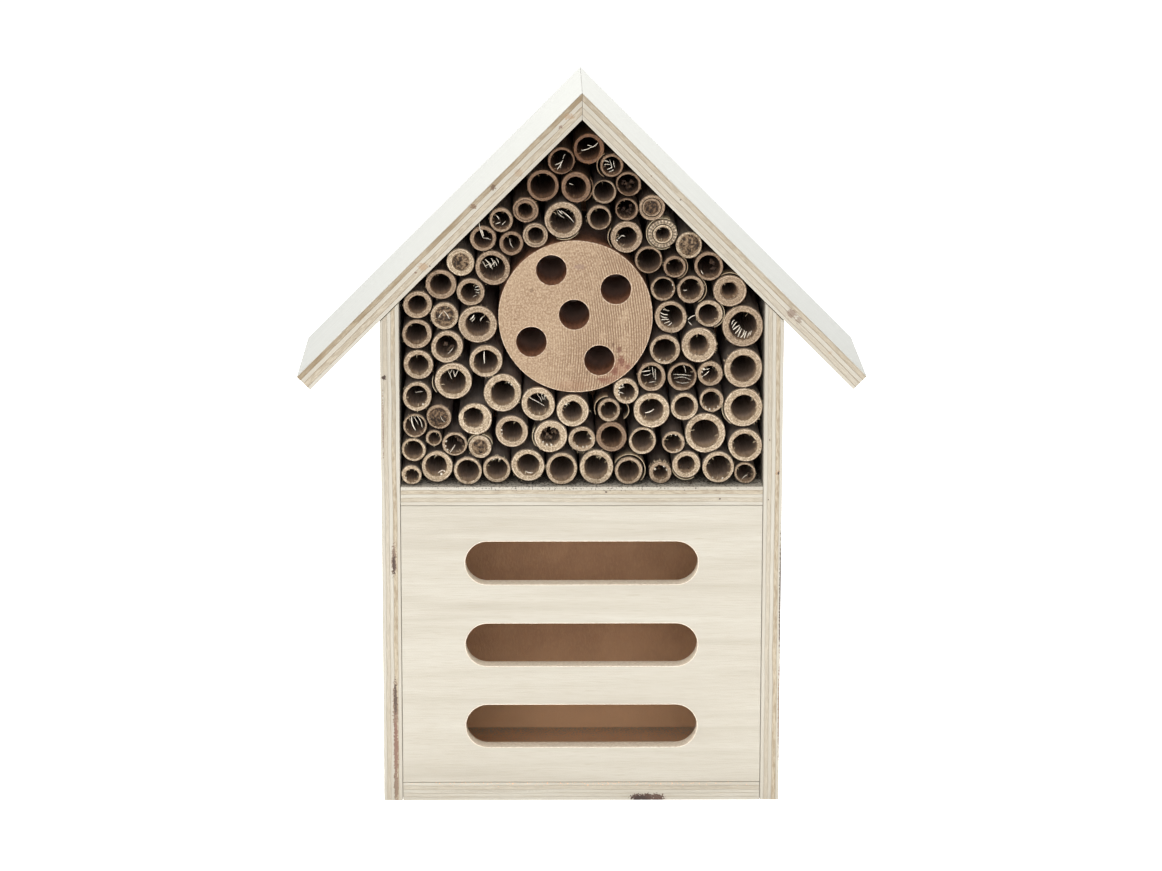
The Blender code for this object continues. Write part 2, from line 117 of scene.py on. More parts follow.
SHEATH_THICKNESS = 0.25 * MM
SHEATH_DEPTH = 12 * MM
BROWN_FROM = 178 * MM           # tubes are browner from here
BROWN_TO = 300 * MM             # up to here

# Studio
LENS = 122.25
CAMERA_PLACE = (-0.019, -1.768, 0.5545)
CAMERA_TURN = (77.44, -0.07, -0.603)    # degrees
LIGHT_TARGET = (0, 0, 0.16)
LIGHTS = (                      # name, place, size and power
    ("key", (-0.4, -1.6, 1.9), (1.0, 0.8), 20),
    ("front", (-0.1, -2.3, 0.78), (1.8, 1.0), 22),
    ("overhead", (0, 0.3, 1.5), (1.2, 0.8), 40),
)
WORLD_LIGHT = 0.17
FLOOR_GLOW = 0.85
GLOW_STARTS = (-700.0, -250.0)  # millimetres, before the house's middle
FLOOR_SIZE = 12                 # metres
FLOOR_CELLS = 8
FLOOR_DROP = 0.2 * MM


# ---------------------------------------------------------------- materials

class Tree:
    """A material put together from nodes. Its place output is in millimetres."""

    def __init__(self, name, roughness, metallic=0.0):
        self.material = bpy.data.materials.new(name)
        self.material.use_nodes = True
        self.nodes = self.material.node_tree.nodes
        self.links = self.material.node_tree.links
        self.shader = self.nodes["Principled BSDF"]
        self.shader.inputs["Metallic"].default_value = metallic
        self.shader.inputs["Roughness"].default_value = roughness
        coordinates = self.nodes.new("ShaderNodeTexCoord")
        self.place = self.vector("MULTIPLY", coordinates.outputs["Object"], (1000, 1000, 1000))

    def feed(self, socket, value):
        if isinstance(value, bpy.types.NodeSocket):
            self.links.new(value, socket)
        else:
            socket.default_value = value

    def vector(self, operation, a, b=(0, 0, 0)):
        node = self.nodes.new("ShaderNodeVectorMath")
        node.operation = operation
        self.feed(node.inputs[0], a)
        self.feed(node.inputs[1], b)
        scalar = operation in ("DOT_PRODUCT", "LENGTH")
        return node.outputs["Value" if scalar else "Vector"]

    def math(self, operation, a, b=0.0):
        node = self.nodes.new("ShaderNodeMath")
        node.operation = operation
        self.feed(node.inputs[0], a)
        self.feed(node.inputs[1], b)
        return node.outputs[0]

    def times(self, a, b):
        return self.math("MULTIPLY", a, b)

    def plus(self, a, b):
        return self.math("ADD", a, b)

    def minus(self, a, b):
        return self.math("SUBTRACT", a, b)

    def along(self, direction):
        """How far along a direction the place is."""
        return self.vector("DOT_PRODUCT", self.place, direction)

    def stretched(self, x, y, z):
        """The place, scaled along each axis: less than 1 draws a pattern out."""
        return self.vector("MULTIPLY", self.place, (x, y, z))

    def joined(self, x, y, z):
        node = self.nodes.new("ShaderNodeCombineXYZ")
        for socket, value in zip(node.inputs, (x, y, z)):
            self.feed(socket, value)
        return node.outputs[0]

    def noise(self, place, scale, detail=3.0, distortion=0.0):
        node = self.nodes.new("ShaderNodeTexNoise")
        self.feed(node.inputs["Vector"], place)
        node.inputs["Scale"].default_value = scale
        node.inputs["Detail"].default_value = detail
        node.inputs["Distortion"].default_value = distortion
        return node.outputs["Fac"]

    def cells(self, place, scale):
        node = self.nodes.new("ShaderNodeTexVoronoi")
        self.feed(node.inputs["Vector"], place)
        node.inputs["Scale"].default_value = scale
        return node.outputs["Distance"]

    def range(self, value, low, high, to_low=0.0, to_high=1.0):
        """Value from low to high turned smoothly into to_low to to_high, and held beyond."""
        node = self.nodes.new("ShaderNodeMapRange")
        node.interpolation_type = "SMOOTHSTEP"
        for socket, number in zip(node.inputs, (value, low, high, to_low, to_high)):
            self.feed(socket, number)
        return node.outputs[0]

    def ramp(self, value, stops, interpolation="LINEAR"):
        node = self.nodes.new("ShaderNodeValToRGB")
        node.color_ramp.interpolation = interpolation
        elements = node.color_ramp.elements
        while len(elements) < len(stops):
            elements.new(1.0)
        for element, (position, colour) in zip(elements, stops):
            element.position = position
            element.color = (*colour, 1.0) if isinstance(colour, tuple) else (colour,) * 3 + (1.0,)
        self.feed(node.inputs[0], value)
        return node.outputs[0]

    def mix(self, share, a, b, blend="MIX"):
        node = self.nodes.new("ShaderNodeMix")
        node.data_type = "RGBA"
        node.blend_type = blend
        for name, value in (("Factor_Float", share), ("A_Color", a), ("B_Color", b)):
            socket = next(s for s in node.inputs if s.identifier == name)
            self.feed(socket, (*value, 1.0) if isinstance(value, tuple) else value)
        return next(s for s in node.outputs if s.identifier == "Result_Color")

    def tinted(self, colour, tint, value, low, high, strength=1.0):
        """The colour, turned towards a tint as the value goes from low to high."""
        return self.mix(self.range(value, low, high, 0.0, strength), colour, tint)

    def attribute(self, name):
        node = self.nodes.new("ShaderNodeAttribute")
        node.attribute_name = name
        return node.outputs["Fac"]

    def bump(self, height, depth):
        """Roughness of the surface, so many millimetres deep."""
        node = self.nodes.new("ShaderNodeBump")
        node.inputs["Distance"].default_value = depth * MM
        self.feed(node.inputs["Height"], height)
        self.links.new(node.outputs[0], self.shader.inputs["Normal"])

    def finish(self, colour, roughness=None):
        self.feed(self.shader.inputs["Base Color"], colour)
        if roughness is not None:
            self.feed(self.shader.inputs["Roughness"], roughness)
        return self.material


def marked(tree, colour, marks):
    """Ragged marks on the wood, mostly flaws and stains, some painted light and painted shade: each a
    centre, reach, strength and tint, in millimetres.
    """
    uneven = tree.times(tree.noise(tree.place, 1.2, 5), 2.4)
    for centre, reach, strength, tint in marks:
        away = tree.vector("DIVIDE", tree.vector("SUBTRACT", tree.place, centre), reach)
        distance = tree.plus(tree.vector("LENGTH", away), uneven)
        colour = tree.tinted(colour, tint, distance, MARK_END, MARK_FADE, strength)
    return colour


def veneer(tree, along, side, low, straight):
    """A poplar veneer's face: pale, with soft bands and fine lines along the grain."""
    bands = tree.noise(straight, 0.16, 4, 0.6)
    lines = tree.noise(straight, 1.9, 4)
    flecks = tree.noise(tree.joined(tree.times(along, 0.09), side, low), 0.8, 2)
    colour = tree.ramp(bands, (
        (0.25, (0.425, 0.386, 0.316)), (0.5, (0.478, 0.443, 0.371)), (0.75, (0.517, 0.487, 0.416)),
    ))
    colour = tree.tinted(colour, (0.39, 0.335, 0.25), lines, 0.42, 0.78, 0.42)
    colour = tree.tinted(colour, (0.36, 0.30, 0.215), flecks, 0.64, 0.76, 0.35)
    return colour, bands, lines


def cut_ply(tree, along, side, depth):
    """The cut end of a cross ply: greyer, porous and drawn out by the saw."""
    drawn = tree.joined(tree.times(along, 0.22), tree.times(side, 0.05), depth)
    cut = tree.noise(drawn, 1.5, 5)
    pores = tree.noise(tree.joined(tree.times(along, 0.5), side, depth), 2.6, 3)
    colour = tree.tinted((0.305, 0.24, 0.16), (0.47, 0.40, 0.295), cut, 0.3, 0.7)
    return tree.tinted(colour, (0.25, 0.19, 0.12), pores, 0.58, 0.8, 0.55), pores


def plywood(name, across, grain, low, plies=(0.55, 1.0), marks=(), layers=PLY_LAYERS, glue=GLUE,
            glue_shown=(0.15, 0.85), stained=0.0, bleached=0.0):
    """Poplar plywood: five plies over the thickness, which starts at low along across.

    The numbers in plies say how dark the two cross plies are, glue_shown how clearly the
    glue lines show where they are faintest and strongest, stained how brown the upper cross
    ply is, and bleached how pale the outer face is.
    """
    tree = Tree(name, 0.6)
    depth = tree.minus(tree.along(across), low)
    along = tree.along(grain)
    side = tree.along(tuple(Vector(across).cross(Vector(grain))))
    straight = tree.joined(tree.times(along, 0.05), side, depth)
    face, bands, lines = veneer(tree, along, side, low, straight)
    end, pores = cut_ply(tree, along, side, depth)

    drift = tree.range(tree.noise(tree.joined(along, side, low), 0.03, 2), 0.2, 0.8, -0.03, 0.03)
    share = tree.plus(tree.math("DIVIDE", depth, PLY_THICKNESS), drift)
    a, b, c, d = layers
    stops = ((0.0, 0.0), (a, plies[0]), (b, 0.0), (c, plies[1]), (d, 0.0))
    colour = tree.mix(tree.ramp(share, stops, "CONSTANT"), face, end)
    joints = []
    for place in layers:
        joints += [(place - GLUE_LINE, 0.0), (place, 1.0), (place + GLUE_LINE, 0.0)]
    lines_of_glue = tree.ramp(share, tuple(joints))
    worn = tree.range(tree.noise(tree.joined(tree.times(along, 0.3), side, depth), 0.2, 3),
                      0.35, 0.65, *glue_shown)
    colour = tree.mix(tree.times(lines_of_glue, worn), colour, glue)
    if stained:
        band = tree.ramp(share, ((0.0, 0.0), (c, stained), (d, 0.0)), "CONSTANT")
        colour = tree.mix(tree.times(band, worn), colour, PLY_STAIN)
    if bleached:
        skin = (PLY_THICKNESS - 0.2, PLY_THICKNESS - 0.08)
        colour = tree.tinted(colour, BLEACHED, depth, *skin, bleached)
    colour = marked(tree, colour, marks)

    height = tree.plus(tree.times(lines, 0.5), tree.times(pores, 0.35))
    height = tree.minus(height, tree.times(lines_of_glue, 0.7))
    tree.bump(height, 0.22)
    return tree.finish(colour, tree.range(bands, 0.2, 0.8, 0.68, 0.54))


def raw_wood(name, stretch, scale, detail, margin, dark, pale, bump):
    """Bare wood where an edge is broken or a strand is torn, and the slot walls' paler wood with painted
    light: one noise between two tones.
    """
    tree = Tree(name, 0.7)
    fibres = tree.noise(tree.stretched(*stretch), scale, detail)
    tree.bump(fibres, bump)
    return tree.finish(tree.tinted(dark, pale, fibres, margin, 1 - margin))


def broken_edge():
    """The walls of the slots, pale with painted light and a painted highlight along their rims."""
    return raw_wood("broken_edge", (0.4, 1, 1), 2.0, 4, 0.3, (0.74, 0.62, 0.48), (0.96, 0.87, 0.73), 0.2)


def log_rim():
    """The slice's broken edges, paler than its face."""
    return raw_wood("log_rim", (1, 1, 1), 0.9, 4, 0.35, (0.36, 0.23, 0.14), (0.72, 0.57, 0.42), 0.2)


def bamboo_fibre():
    """Pale splinters and torn strands."""
    return raw_wood("bamboo_fibre", (1, 1, 1), 0.8, 3, 0.35, (0.50, 0.435, 0.335), (0.78, 0.715, 0.60),
                    0.1)


def hardboard():
    """Brown pressed-fibre board, with painted light at the foot of its inner side and painted shade
    darkening its rear face.
    """
    tree = Tree("hardboard", 0.6)
    cloud = tree.noise(tree.place, 0.06, 3)
    fibre = tree.noise(tree.stretched(1.0, 1.0, 0.35), 1.4, 5, 0.8)
    specks = tree.cells(tree.place, 0.55)
    colour = tree.tinted((0.42, 0.215, 0.105), (0.50, 0.265, 0.133), cloud, 0.35, 0.65)
    colour = tree.tinted(colour, (0.60, 0.345, 0.185), fibre, 0.4, 0.75, 0.45)
    colour = tree.tinted(colour, (0.22, 0.105, 0.048), specks, 0.16, 0.0, 0.35)
    # the rear face's colour, darkened as painted shade
    rear = tree.mix(1.0, colour, (0.36, 0.36, 0.38), "MULTIPLY")
    # painted light at the foot of the inner side, over the shade in the corner
    colour = tree.tinted(colour, (0.80, 0.49, 0.28), tree.along(UP), 60.0, 8.0)
    colour = tree.mix(tree.range(tree.along(BACKWARDS), 43.0, 44.0), colour, rear)
    tree.bump(fibre, 0.3)
    return tree.finish(colour, tree.range(fibre, 0.3, 0.8, 0.5, 0.75))


# Marks on the log slice: place from its centre, reach, strength and tint, in millimetres
LOG_MARKS = (
    ((20.0, -23.5), (6.5, 4.6), 0.5, (0.25, 0.10, 0.055)),
    ((15.5, -29.0), (5.5, 2.6), 0.5, (0.22, 0.09, 0.05)),
    ((19.5, -15.0), (1.2, 1.6), 0.8, (0.15, 0.06, 0.035)),
    ((20.5, -20.0), (1.5, 2.4), 0.85, (0.17, 0.06, 0.035)),
    ((17.5, -24.5), (1.6, 2.0), 0.85, (0.17, 0.06, 0.035)),
    ((23.5, -23.0), (1.2, 1.3), 0.8, (0.17, 0.06, 0.035)),
    ((12.0, -28.5), (3.0, 1.0), 0.75, (0.18, 0.07, 0.04)),
    ((18.5, -29.5), (1.3, 1.4), 0.8, (0.17, 0.06, 0.035)),
    ((1.9, 22.5), (3.0, 1.3), 0.6, (0.25, 0.16, 0.12)),
    ((16.8, -12.6), (0.5, 1.1), 0.85, (0.12, 0.06, 0.035)),
    ((-19.4, 11.8), (0.9, 0.9), 0.7, (0.16, 0.09, 0.05)),
    ((5.2, -25.6), (0.9, 0.8), 0.6, (0.16, 0.09, 0.05)),
    ((-27.0, -1.0), (0.8, 0.8), 0.5, (0.20, 0.11, 0.06)),
    ((-1.0, -31.5), (9.0, 3.0), 0.25, (0.27, 0.13, 0.07)),
)


def log_wood(centre):
    """The slice's end grain: year rings about a pith far to the left, and stains.

    The centre is the middle of the slice's front, in millimetres.
    """
    tree = Tree("log_wood", 0.7)
    x, front, z = centre
    place = tree.vector("SUBTRACT", tree.place, (x, 0, z))
    flat = tree.vector("MULTIPLY", place, (1, 0.15, 1))
    warp = tree.noise(flat, 0.07, 3)
    pith = tree.vector("LENGTH", tree.vector("SUBTRACT", flat, LOG_PITH))
    phase = tree.plus(tree.times(pith, 5.6), tree.times(warp, 9.0))
    rings = tree.math("SINE", phase)
    side = tree.vector("DOT_PRODUCT", place, (1, 0, -0.35))
    visible = tree.range(side, -16.0, 14.0, 0.1, 0.9)
    patchy = tree.range(tree.noise(flat, 0.16, 3), 0.28, 0.5)
    lines = tree.times(tree.times(visible, patchy), tree.range(rings, -0.2, 0.9))

    cloud = tree.noise(flat, 0.055, 3)
    mottle = tree.noise(flat, 1.1, 5)
    grit = tree.noise(tree.vector("MULTIPLY", flat, (1, 1, 0.6)), 1.7, 4)
    colour = tree.tinted((0.295, 0.192, 0.112), (0.362, 0.251, 0.153), cloud, 0.3, 0.7)
    colour = tree.tinted(colour, (0.50, 0.372, 0.250), mottle, 0.44, 0.58, 0.7)
    colour = tree.mix(lines, colour, (0.17, 0.09, 0.046))
    colour = tree.tinted(colour, (0.22, 0.13, 0.07), grit, 0.52, 0.62, 0.6)
    colour = marked(tree, colour, [
        ((x + dx, front, z + dz), (across, STAIN_DEPTH, up), *rest)
        for (dx, dz), (across, up), *rest in LOG_MARKS
    ])
    height = tree.minus(tree.times(grit, 0.5), tree.times(lines, 0.4))
    tree.bump(height, 0.3)
    return tree.finish(colour, 0.72)


def drilled_wood():
    """The inside of a drilled hole, dark with painted shade near its mouth and paler with painted light
    further in, and the slice's round side, dark with painted shade.
    """
    tree = Tree("drilled_wood", 0.75)
    streaks = tree.noise(tree.stretched(1, 0.15, 1), 0.9, 4)
    turns = tree.noise(tree.stretched(0.1, 1, 0.1), 1.6, 2)
    # dark brown near the front: painted shade in the holes and on the round side
    colour = tree.tinted((0.17, 0.072, 0.035), (0.28, 0.128, 0.066), streaks, 0.3, 0.7)
    # paler further back: painted light deep in the holes
    colour = tree.tinted(colour, (0.47, 0.335, 0.28), tree.along(BACKWARDS), -32.0, 2.0)
    colour = tree.tinted(colour, (0.10, 0.055, 0.032), turns, 0.55, 0.75, 0.4)
    tree.bump(turns, 0.3)
    return tree.finish(colour)


BROWNED = (0.30, 0.165, 0.085)   # what the brownest tubes' colours are multiplied by


def painted_and_toned(tree, colour, painted_colour, browned=BROWNED):
    """A tube's colour mixed by its shade attribute towards a painted colour, painted shade on most parts
    and painted light in the bore, and then its brown tone.
    """
    colour = tree.mix(tree.attribute("shade"), colour, painted_colour)
    return tree.mix(tree.attribute("tone"), colour, browned, "MULTIPLY")


def bamboo_cut():
    """The sawn end of a tube's wall, from the bore (across 0) to the skin (across 1)."""
    tree = Tree("bamboo_cut", 0.62)
    wall = tree.ramp(tree.attribute("across"), (
        (0.0, (0.10, 0.065, 0.038)), (0.10, (0.23, 0.158, 0.096)), (0.24, (0.49, 0.38, 0.252)),
        (0.45, (0.35, 0.262, 0.166)), (0.62, (0.43, 0.328, 0.212)), (0.80, (0.29, 0.214, 0.134)),
        (0.88, (0.70, 0.575, 0.42)), (0.95, (0.78, 0.65, 0.485)), (1.0, (0.16, 0.10, 0.056)),
    ))
    cloud = tree.noise(tree.place, 0.36, 3)
    grain = tree.noise(tree.place, 1.5, 4)
    bundles = tree.cells(tree.place, 1.5)
    colour = tree.tinted(wall, (0.33, 0.235, 0.14), cloud, 0.44, 0.60, 0.5)
    colour = tree.tinted(colour, (0.80, 0.67, 0.50), grain, 0.46, 0.36, 0.5)
    colour = tree.tinted(colour, (0.14, 0.086, 0.045), grain, 0.53, 0.63, 0.7)
    colour = tree.tinted(colour, (0.19, 0.125, 0.07), bundles, 0.24, 0.08, 0.35)
    # the shade attribute darkens a toothed rim's notches with painted shade, and the grooves' dark rings
    colour = painted_and_toned(tree, colour, (0.10, 0.07, 0.045))
    tree.bump(tree.minus(grain, tree.times(bundles, 0.6)), 0.3)
    return tree.finish(colour, tree.range(grain, 0.3, 0.7, 0.7, 0.55))


def bamboo_skin():
    """The outside of a tube, grey with painted light deep in the gaps between tubes and dark with painted
    shade just behind its mouth.
    """
    tree = Tree("bamboo_skin", 0.45)
    streaks = tree.noise(tree.stretched(1, 0.04, 1), 0.9, 4)
    blotches = tree.noise(tree.place, 0.12, 3)
    colour = tree.tinted((0.50, 0.39, 0.24), (0.66, 0.56, 0.38), streaks, 0.3, 0.7)
    colour = tree.tinted(colour, (0.33, 0.23, 0.13), blotches, 0.5, 0.75, 0.6)
    # deep in the gaps the skin turns grey: painted light
    colour = tree.mix(tree.attribute("across"), (0.46, 0.40, 0.38), colour)
    # the shade attribute darkens the skin just behind the mouth: painted shade between the tubes
    colour = painted_and_toned(tree, colour, (0.17, 0.135, 0.12))
    tree.bump(streaks, 0.2)
    return tree.finish(colour, tree.range(streaks, 0.3, 0.7, 0.55, 0.4))


def bamboo_bore():
    """The matt inside wall of a tube, browner near its mouth and paler and greyer deeper in, as painted
    light.
    """
    tree = Tree("bamboo_bore", 0.85)
    streaks = tree.noise(tree.stretched(1, 0.06, 1), 1.1, 4)
    colour = tree.tinted((0.28, 0.19, 0.115), (0.48, 0.345, 0.22), streaks, 0.3, 0.7)
    # the shade attribute pales the bore deeper in: painted light
    colour = painted_and_toned(tree, colour, (0.42, 0.33, 0.265), (0.42, 0.27, 0.18))
    tree.bump(streaks, 0.4)
    return tree.finish(colour)


def bamboo_pith():
    """Crumbly pith that fills a tube."""
    tree = Tree("bamboo_pith", 0.9)
    crumbs = tree.noise(tree.place, 0.75, 5)
    cells = tree.cells(tree.place, 0.9)
    colour = tree.ramp(crumbs, (
        (0.38, (0.02, 0.011, 0.006)), (0.46, (0.055, 0.033, 0.018)), (0.53, (0.105, 0.066, 0.036)),
        (0.62, (0.27, 0.185, 0.11)),
    ))
    colour = tree.tinted(colour, (0.16, 0.11, 0.07), cells, 0.3, 0.05, 0.4)
    colour = painted_and_toned(tree, colour, (0.08, 0.055, 0.038))
    tree.bump(crumbs, 0.7)
    return tree.finish(colour)


def zinc():
    """Zinc-plated steel with a slightly cloudy shine."""
    tree = Tree("zinc_plated_steel", 0.35, 1.0)
    cloud = tree.noise(tree.place, 0.5, 4)
    brushed = tree.noise(tree.stretched(0.1, 1, 1), 3.0, 3)
    colour = tree.tinted((0.56, 0.56, 0.55), (0.74, 0.73, 0.70), cloud, 0.35, 0.65)
    tree.bump(brushed, 0.05)
    return tree.finish(colour, tree.range(cloud, 0.3, 0.7, 0.28, 0.48))


def white_floor():
    """A matt white floor that glows apart from well before the house, so shadows stay faint."""
    tree = Tree("white_floor", 0.9)
    tree.shader.inputs["Specular IOR Level"].default_value = 0.0
    tree.shader.inputs["Emission Color"].default_value = (1, 1, 1, 1)
    glow = tree.range(tree.along(BACKWARDS), *GLOW_STARTS, 0.0, FLOOR_GLOW)
    tree.feed(tree.shader.inputs["Emission Strength"], glow)
    paper = tree.noise(tree.place, 0.01, 2)
    return tree.finish(tree.mix(paper, (0.88, 0.88, 0.88), (0.92, 0.92, 0.92)))


# ------------------------------------------------------------------- pieces

def finished(piece, materials, *nodes):
    """A piece in the scene: its materials, its ride and the CAD nodes it stands for."""
    bpy.context.scene.collection.objects.link(piece)
    for material in materials:
        piece.data.materials.append(material)
    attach(piece, "root")
    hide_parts(*nodes)
    return piece


def arc(centre, radius, start, end, steps):
    x, z = centre
    angles = [start + (end - start) * step / steps for step in range(steps + 1)]
    return [(x + radius * cos(angle), z + radius * sin(angle)) for angle in angles]


def rounded(outline, sharp=()):
    """The outline with its corners turned into small arcs, apart from the sharp ones."""
    points = []
    corners = [Vector(corner) for corner in outline]
    for number, corner in enumerate(corners):
        if number in sharp:
            points.append(tuple(corner))
            continue
        before, after = corners[number - 1], corners[(number + 1) % len(corners)]
        into = (before - corner).normalized()
        out = (after - corner).normalized()
        half = into.angle(out) / 2
        reach = EDGE_ROUNDING / max(0.2, abs(sin(half) / cos(half)))
        start, end = corner + into * reach, corner + out * reach
        for step in range(CORNER_STEPS + 1):
            share = step / CORNER_STEPS
            bend = start.lerp(corner, share).lerp(corner.lerp(end, share), share)
            points.append(tuple(bend))
    return points


def soften(mesh):
    """Smooth shading over rounded edges, with the front and rear faces left flat."""
    mesh.shade_smooth()
    mesh.set_sharp_from_angle(angle=SHARP_ANGLE)
    for face in mesh.polygons:
        face.use_smooth = abs(face.normal.y) < 0.999


def slab_mesh(name, loops, front, rear, edge=EDGE_ROUNDING):
    """A plate with outlines in x and z, holes among them, and rounded front and rear edges."""
    curve = bpy.data.curves.new(name, "CURVE")
    curve.dimensions = "2D"
    curve.fill_mode = "BOTH"
    curve.extrude = (rear - front) / 2 - edge
    curve.bevel_depth = edge
    curve.bevel_resolution = 1
    curve.offset = -edge
    for loop in loops:
        spline = curve.splines.new("POLY")
        spline.points.add(len(loop) - 1)
        for point, (x, z) in zip(spline.points, loop):
            point.co = (x, z, 0, 1)
        spline.use_cyclic_u = True
    drawn = bpy.data.objects.new(name, curve)
    bpy.context.scene.collection.objects.link(drawn)
    bpy.context.view_layer.update()
    filled = drawn.evaluated_get(bpy.context.evaluated_depsgraph_get())
    mesh = bpy.data.meshes.new_from_object(filled)
    bpy.data.objects.remove(drawn, do_unlink=True)
    bpy.data.curves.remove(curve)
    form = bmesh.new()
    form.from_mesh(mesh)
    bmesh.ops.remove_doubles(form, verts=form.verts, dist=0.005 * MM)
    bmesh.ops.rotate(form, verts=form.verts, matrix=Matrix.Rotation(pi / 2, 3, "X"))
    bmesh.ops.translate(form, verts=form.verts, vec=(0, (front + rear) / 2, 0))
    bmesh.ops.recalc_face_normals(form, faces=form.faces)
    form.to_mesh(mesh)
    form.free()
    soften(mesh)
    return mesh


def board(node, loops, materials, edge=EDGE_ROUNDING):
    low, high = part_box(node)
    mesh = slab_mesh(node, loops, low.y, high.y, edge)
    piece = bpy.data.objects.new(node + "_board", mesh)
    return finished(piece, materials, node)


def box_outline(node):
    low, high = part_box(node)
    return [(low.x, low.z), (high.x, low.z), (high.x, high.z), (low.x, high.z)]


def grown(outline, across, up):
    """A rectangle's outline pushed out by so much on each side."""
    (left, bottom), _, (right, top), _ = outline
    left, right = left - across, right + across
    bottom, top = bottom - up, top + up
    return [(left, bottom), (right, bottom), (right, top), (left, top)]


def disc(node):
    """A round piece's centre, in x and z, and its radius."""
    low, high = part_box(node)
    return ((low.x + high.x) / 2, (low.z + high.z) / 2), (high.x - low.x) / 2


def wall_outline(node):
    """A wall's outline, whose top slopes at 45 degrees up to its inner face."""
    low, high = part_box(node)
    lower_top = high.z - (high.x - low.x)
    if low.x < 0:
        return [(low.x, low.z), (high.x, low.z), (high.x, high.z), (low.x, lower_top)]
    return [(low.x, low.z), (high.x, low.z), (high.x, lower_top), (low.x, high.z)]


def roof_outline(node):
    """A roof board's outline: upright at the ridge and square at the eave."""
    low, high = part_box(node)
    side = -1 if low.x < 0 else 1
    ridge, eave = sorted((abs(low.x), abs(high.x)))
    slope = high.z + ridge
    ridge = RIDGE_JOINT
    edge = slope - eave - low.z
    outline = [
        (ridge, slope - ridge), (eave, slope - eave), (eave - edge, low.z),
        (ridge, slope - 2 * edge - ridge),
    ]
    return [(side * x, z) for x, z in outline]


def gable_outline(node):
    low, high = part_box(node)
    shoulder = high.z - high.x
    return [
        (low.x, low.z), (high.x, low.z), (high.x, shoulder), (0, high.z), (low.x, shoulder),
    ]


def among_slots(point, low, high):
    """Whether a point of the front panel lies as far inside its outline as the slots do."""
    return (abs(point.x) < high.x - SLOT_MARGIN
            and low.z + SLOT_MARGIN < point.z < high.z - SLOT_MARGIN)


def slot_loops(node):
    """The front panel's three long slots, from their edges in the CAD panel's mesh."""
    low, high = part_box(node)
    inside = [v.co for v in NODES[node].data.vertices if among_slots(v.co, low, high)]
    rows = []
    for height in sorted({round(point.z, 5) for point in inside}):
        if not rows or height - rows[-1][-1] > SLOT_MARGIN:
            rows.append([height])
        else:
            rows[-1].append(height)
    loops = []
    reach = max(point.x for point in inside)
    for row in rows:
        middle = (row[0] + row[-1]) / 2
        radius = (row[-1] - row[0]) / 2
        loops.append(
            arc((reach - radius, middle), radius, -pi / 2, pi / 2, SLOT_STEPS)
            + arc((radius - reach, middle), radius, pi / 2, pi * 3 / 2, SLOT_STEPS)
        )
    return loops
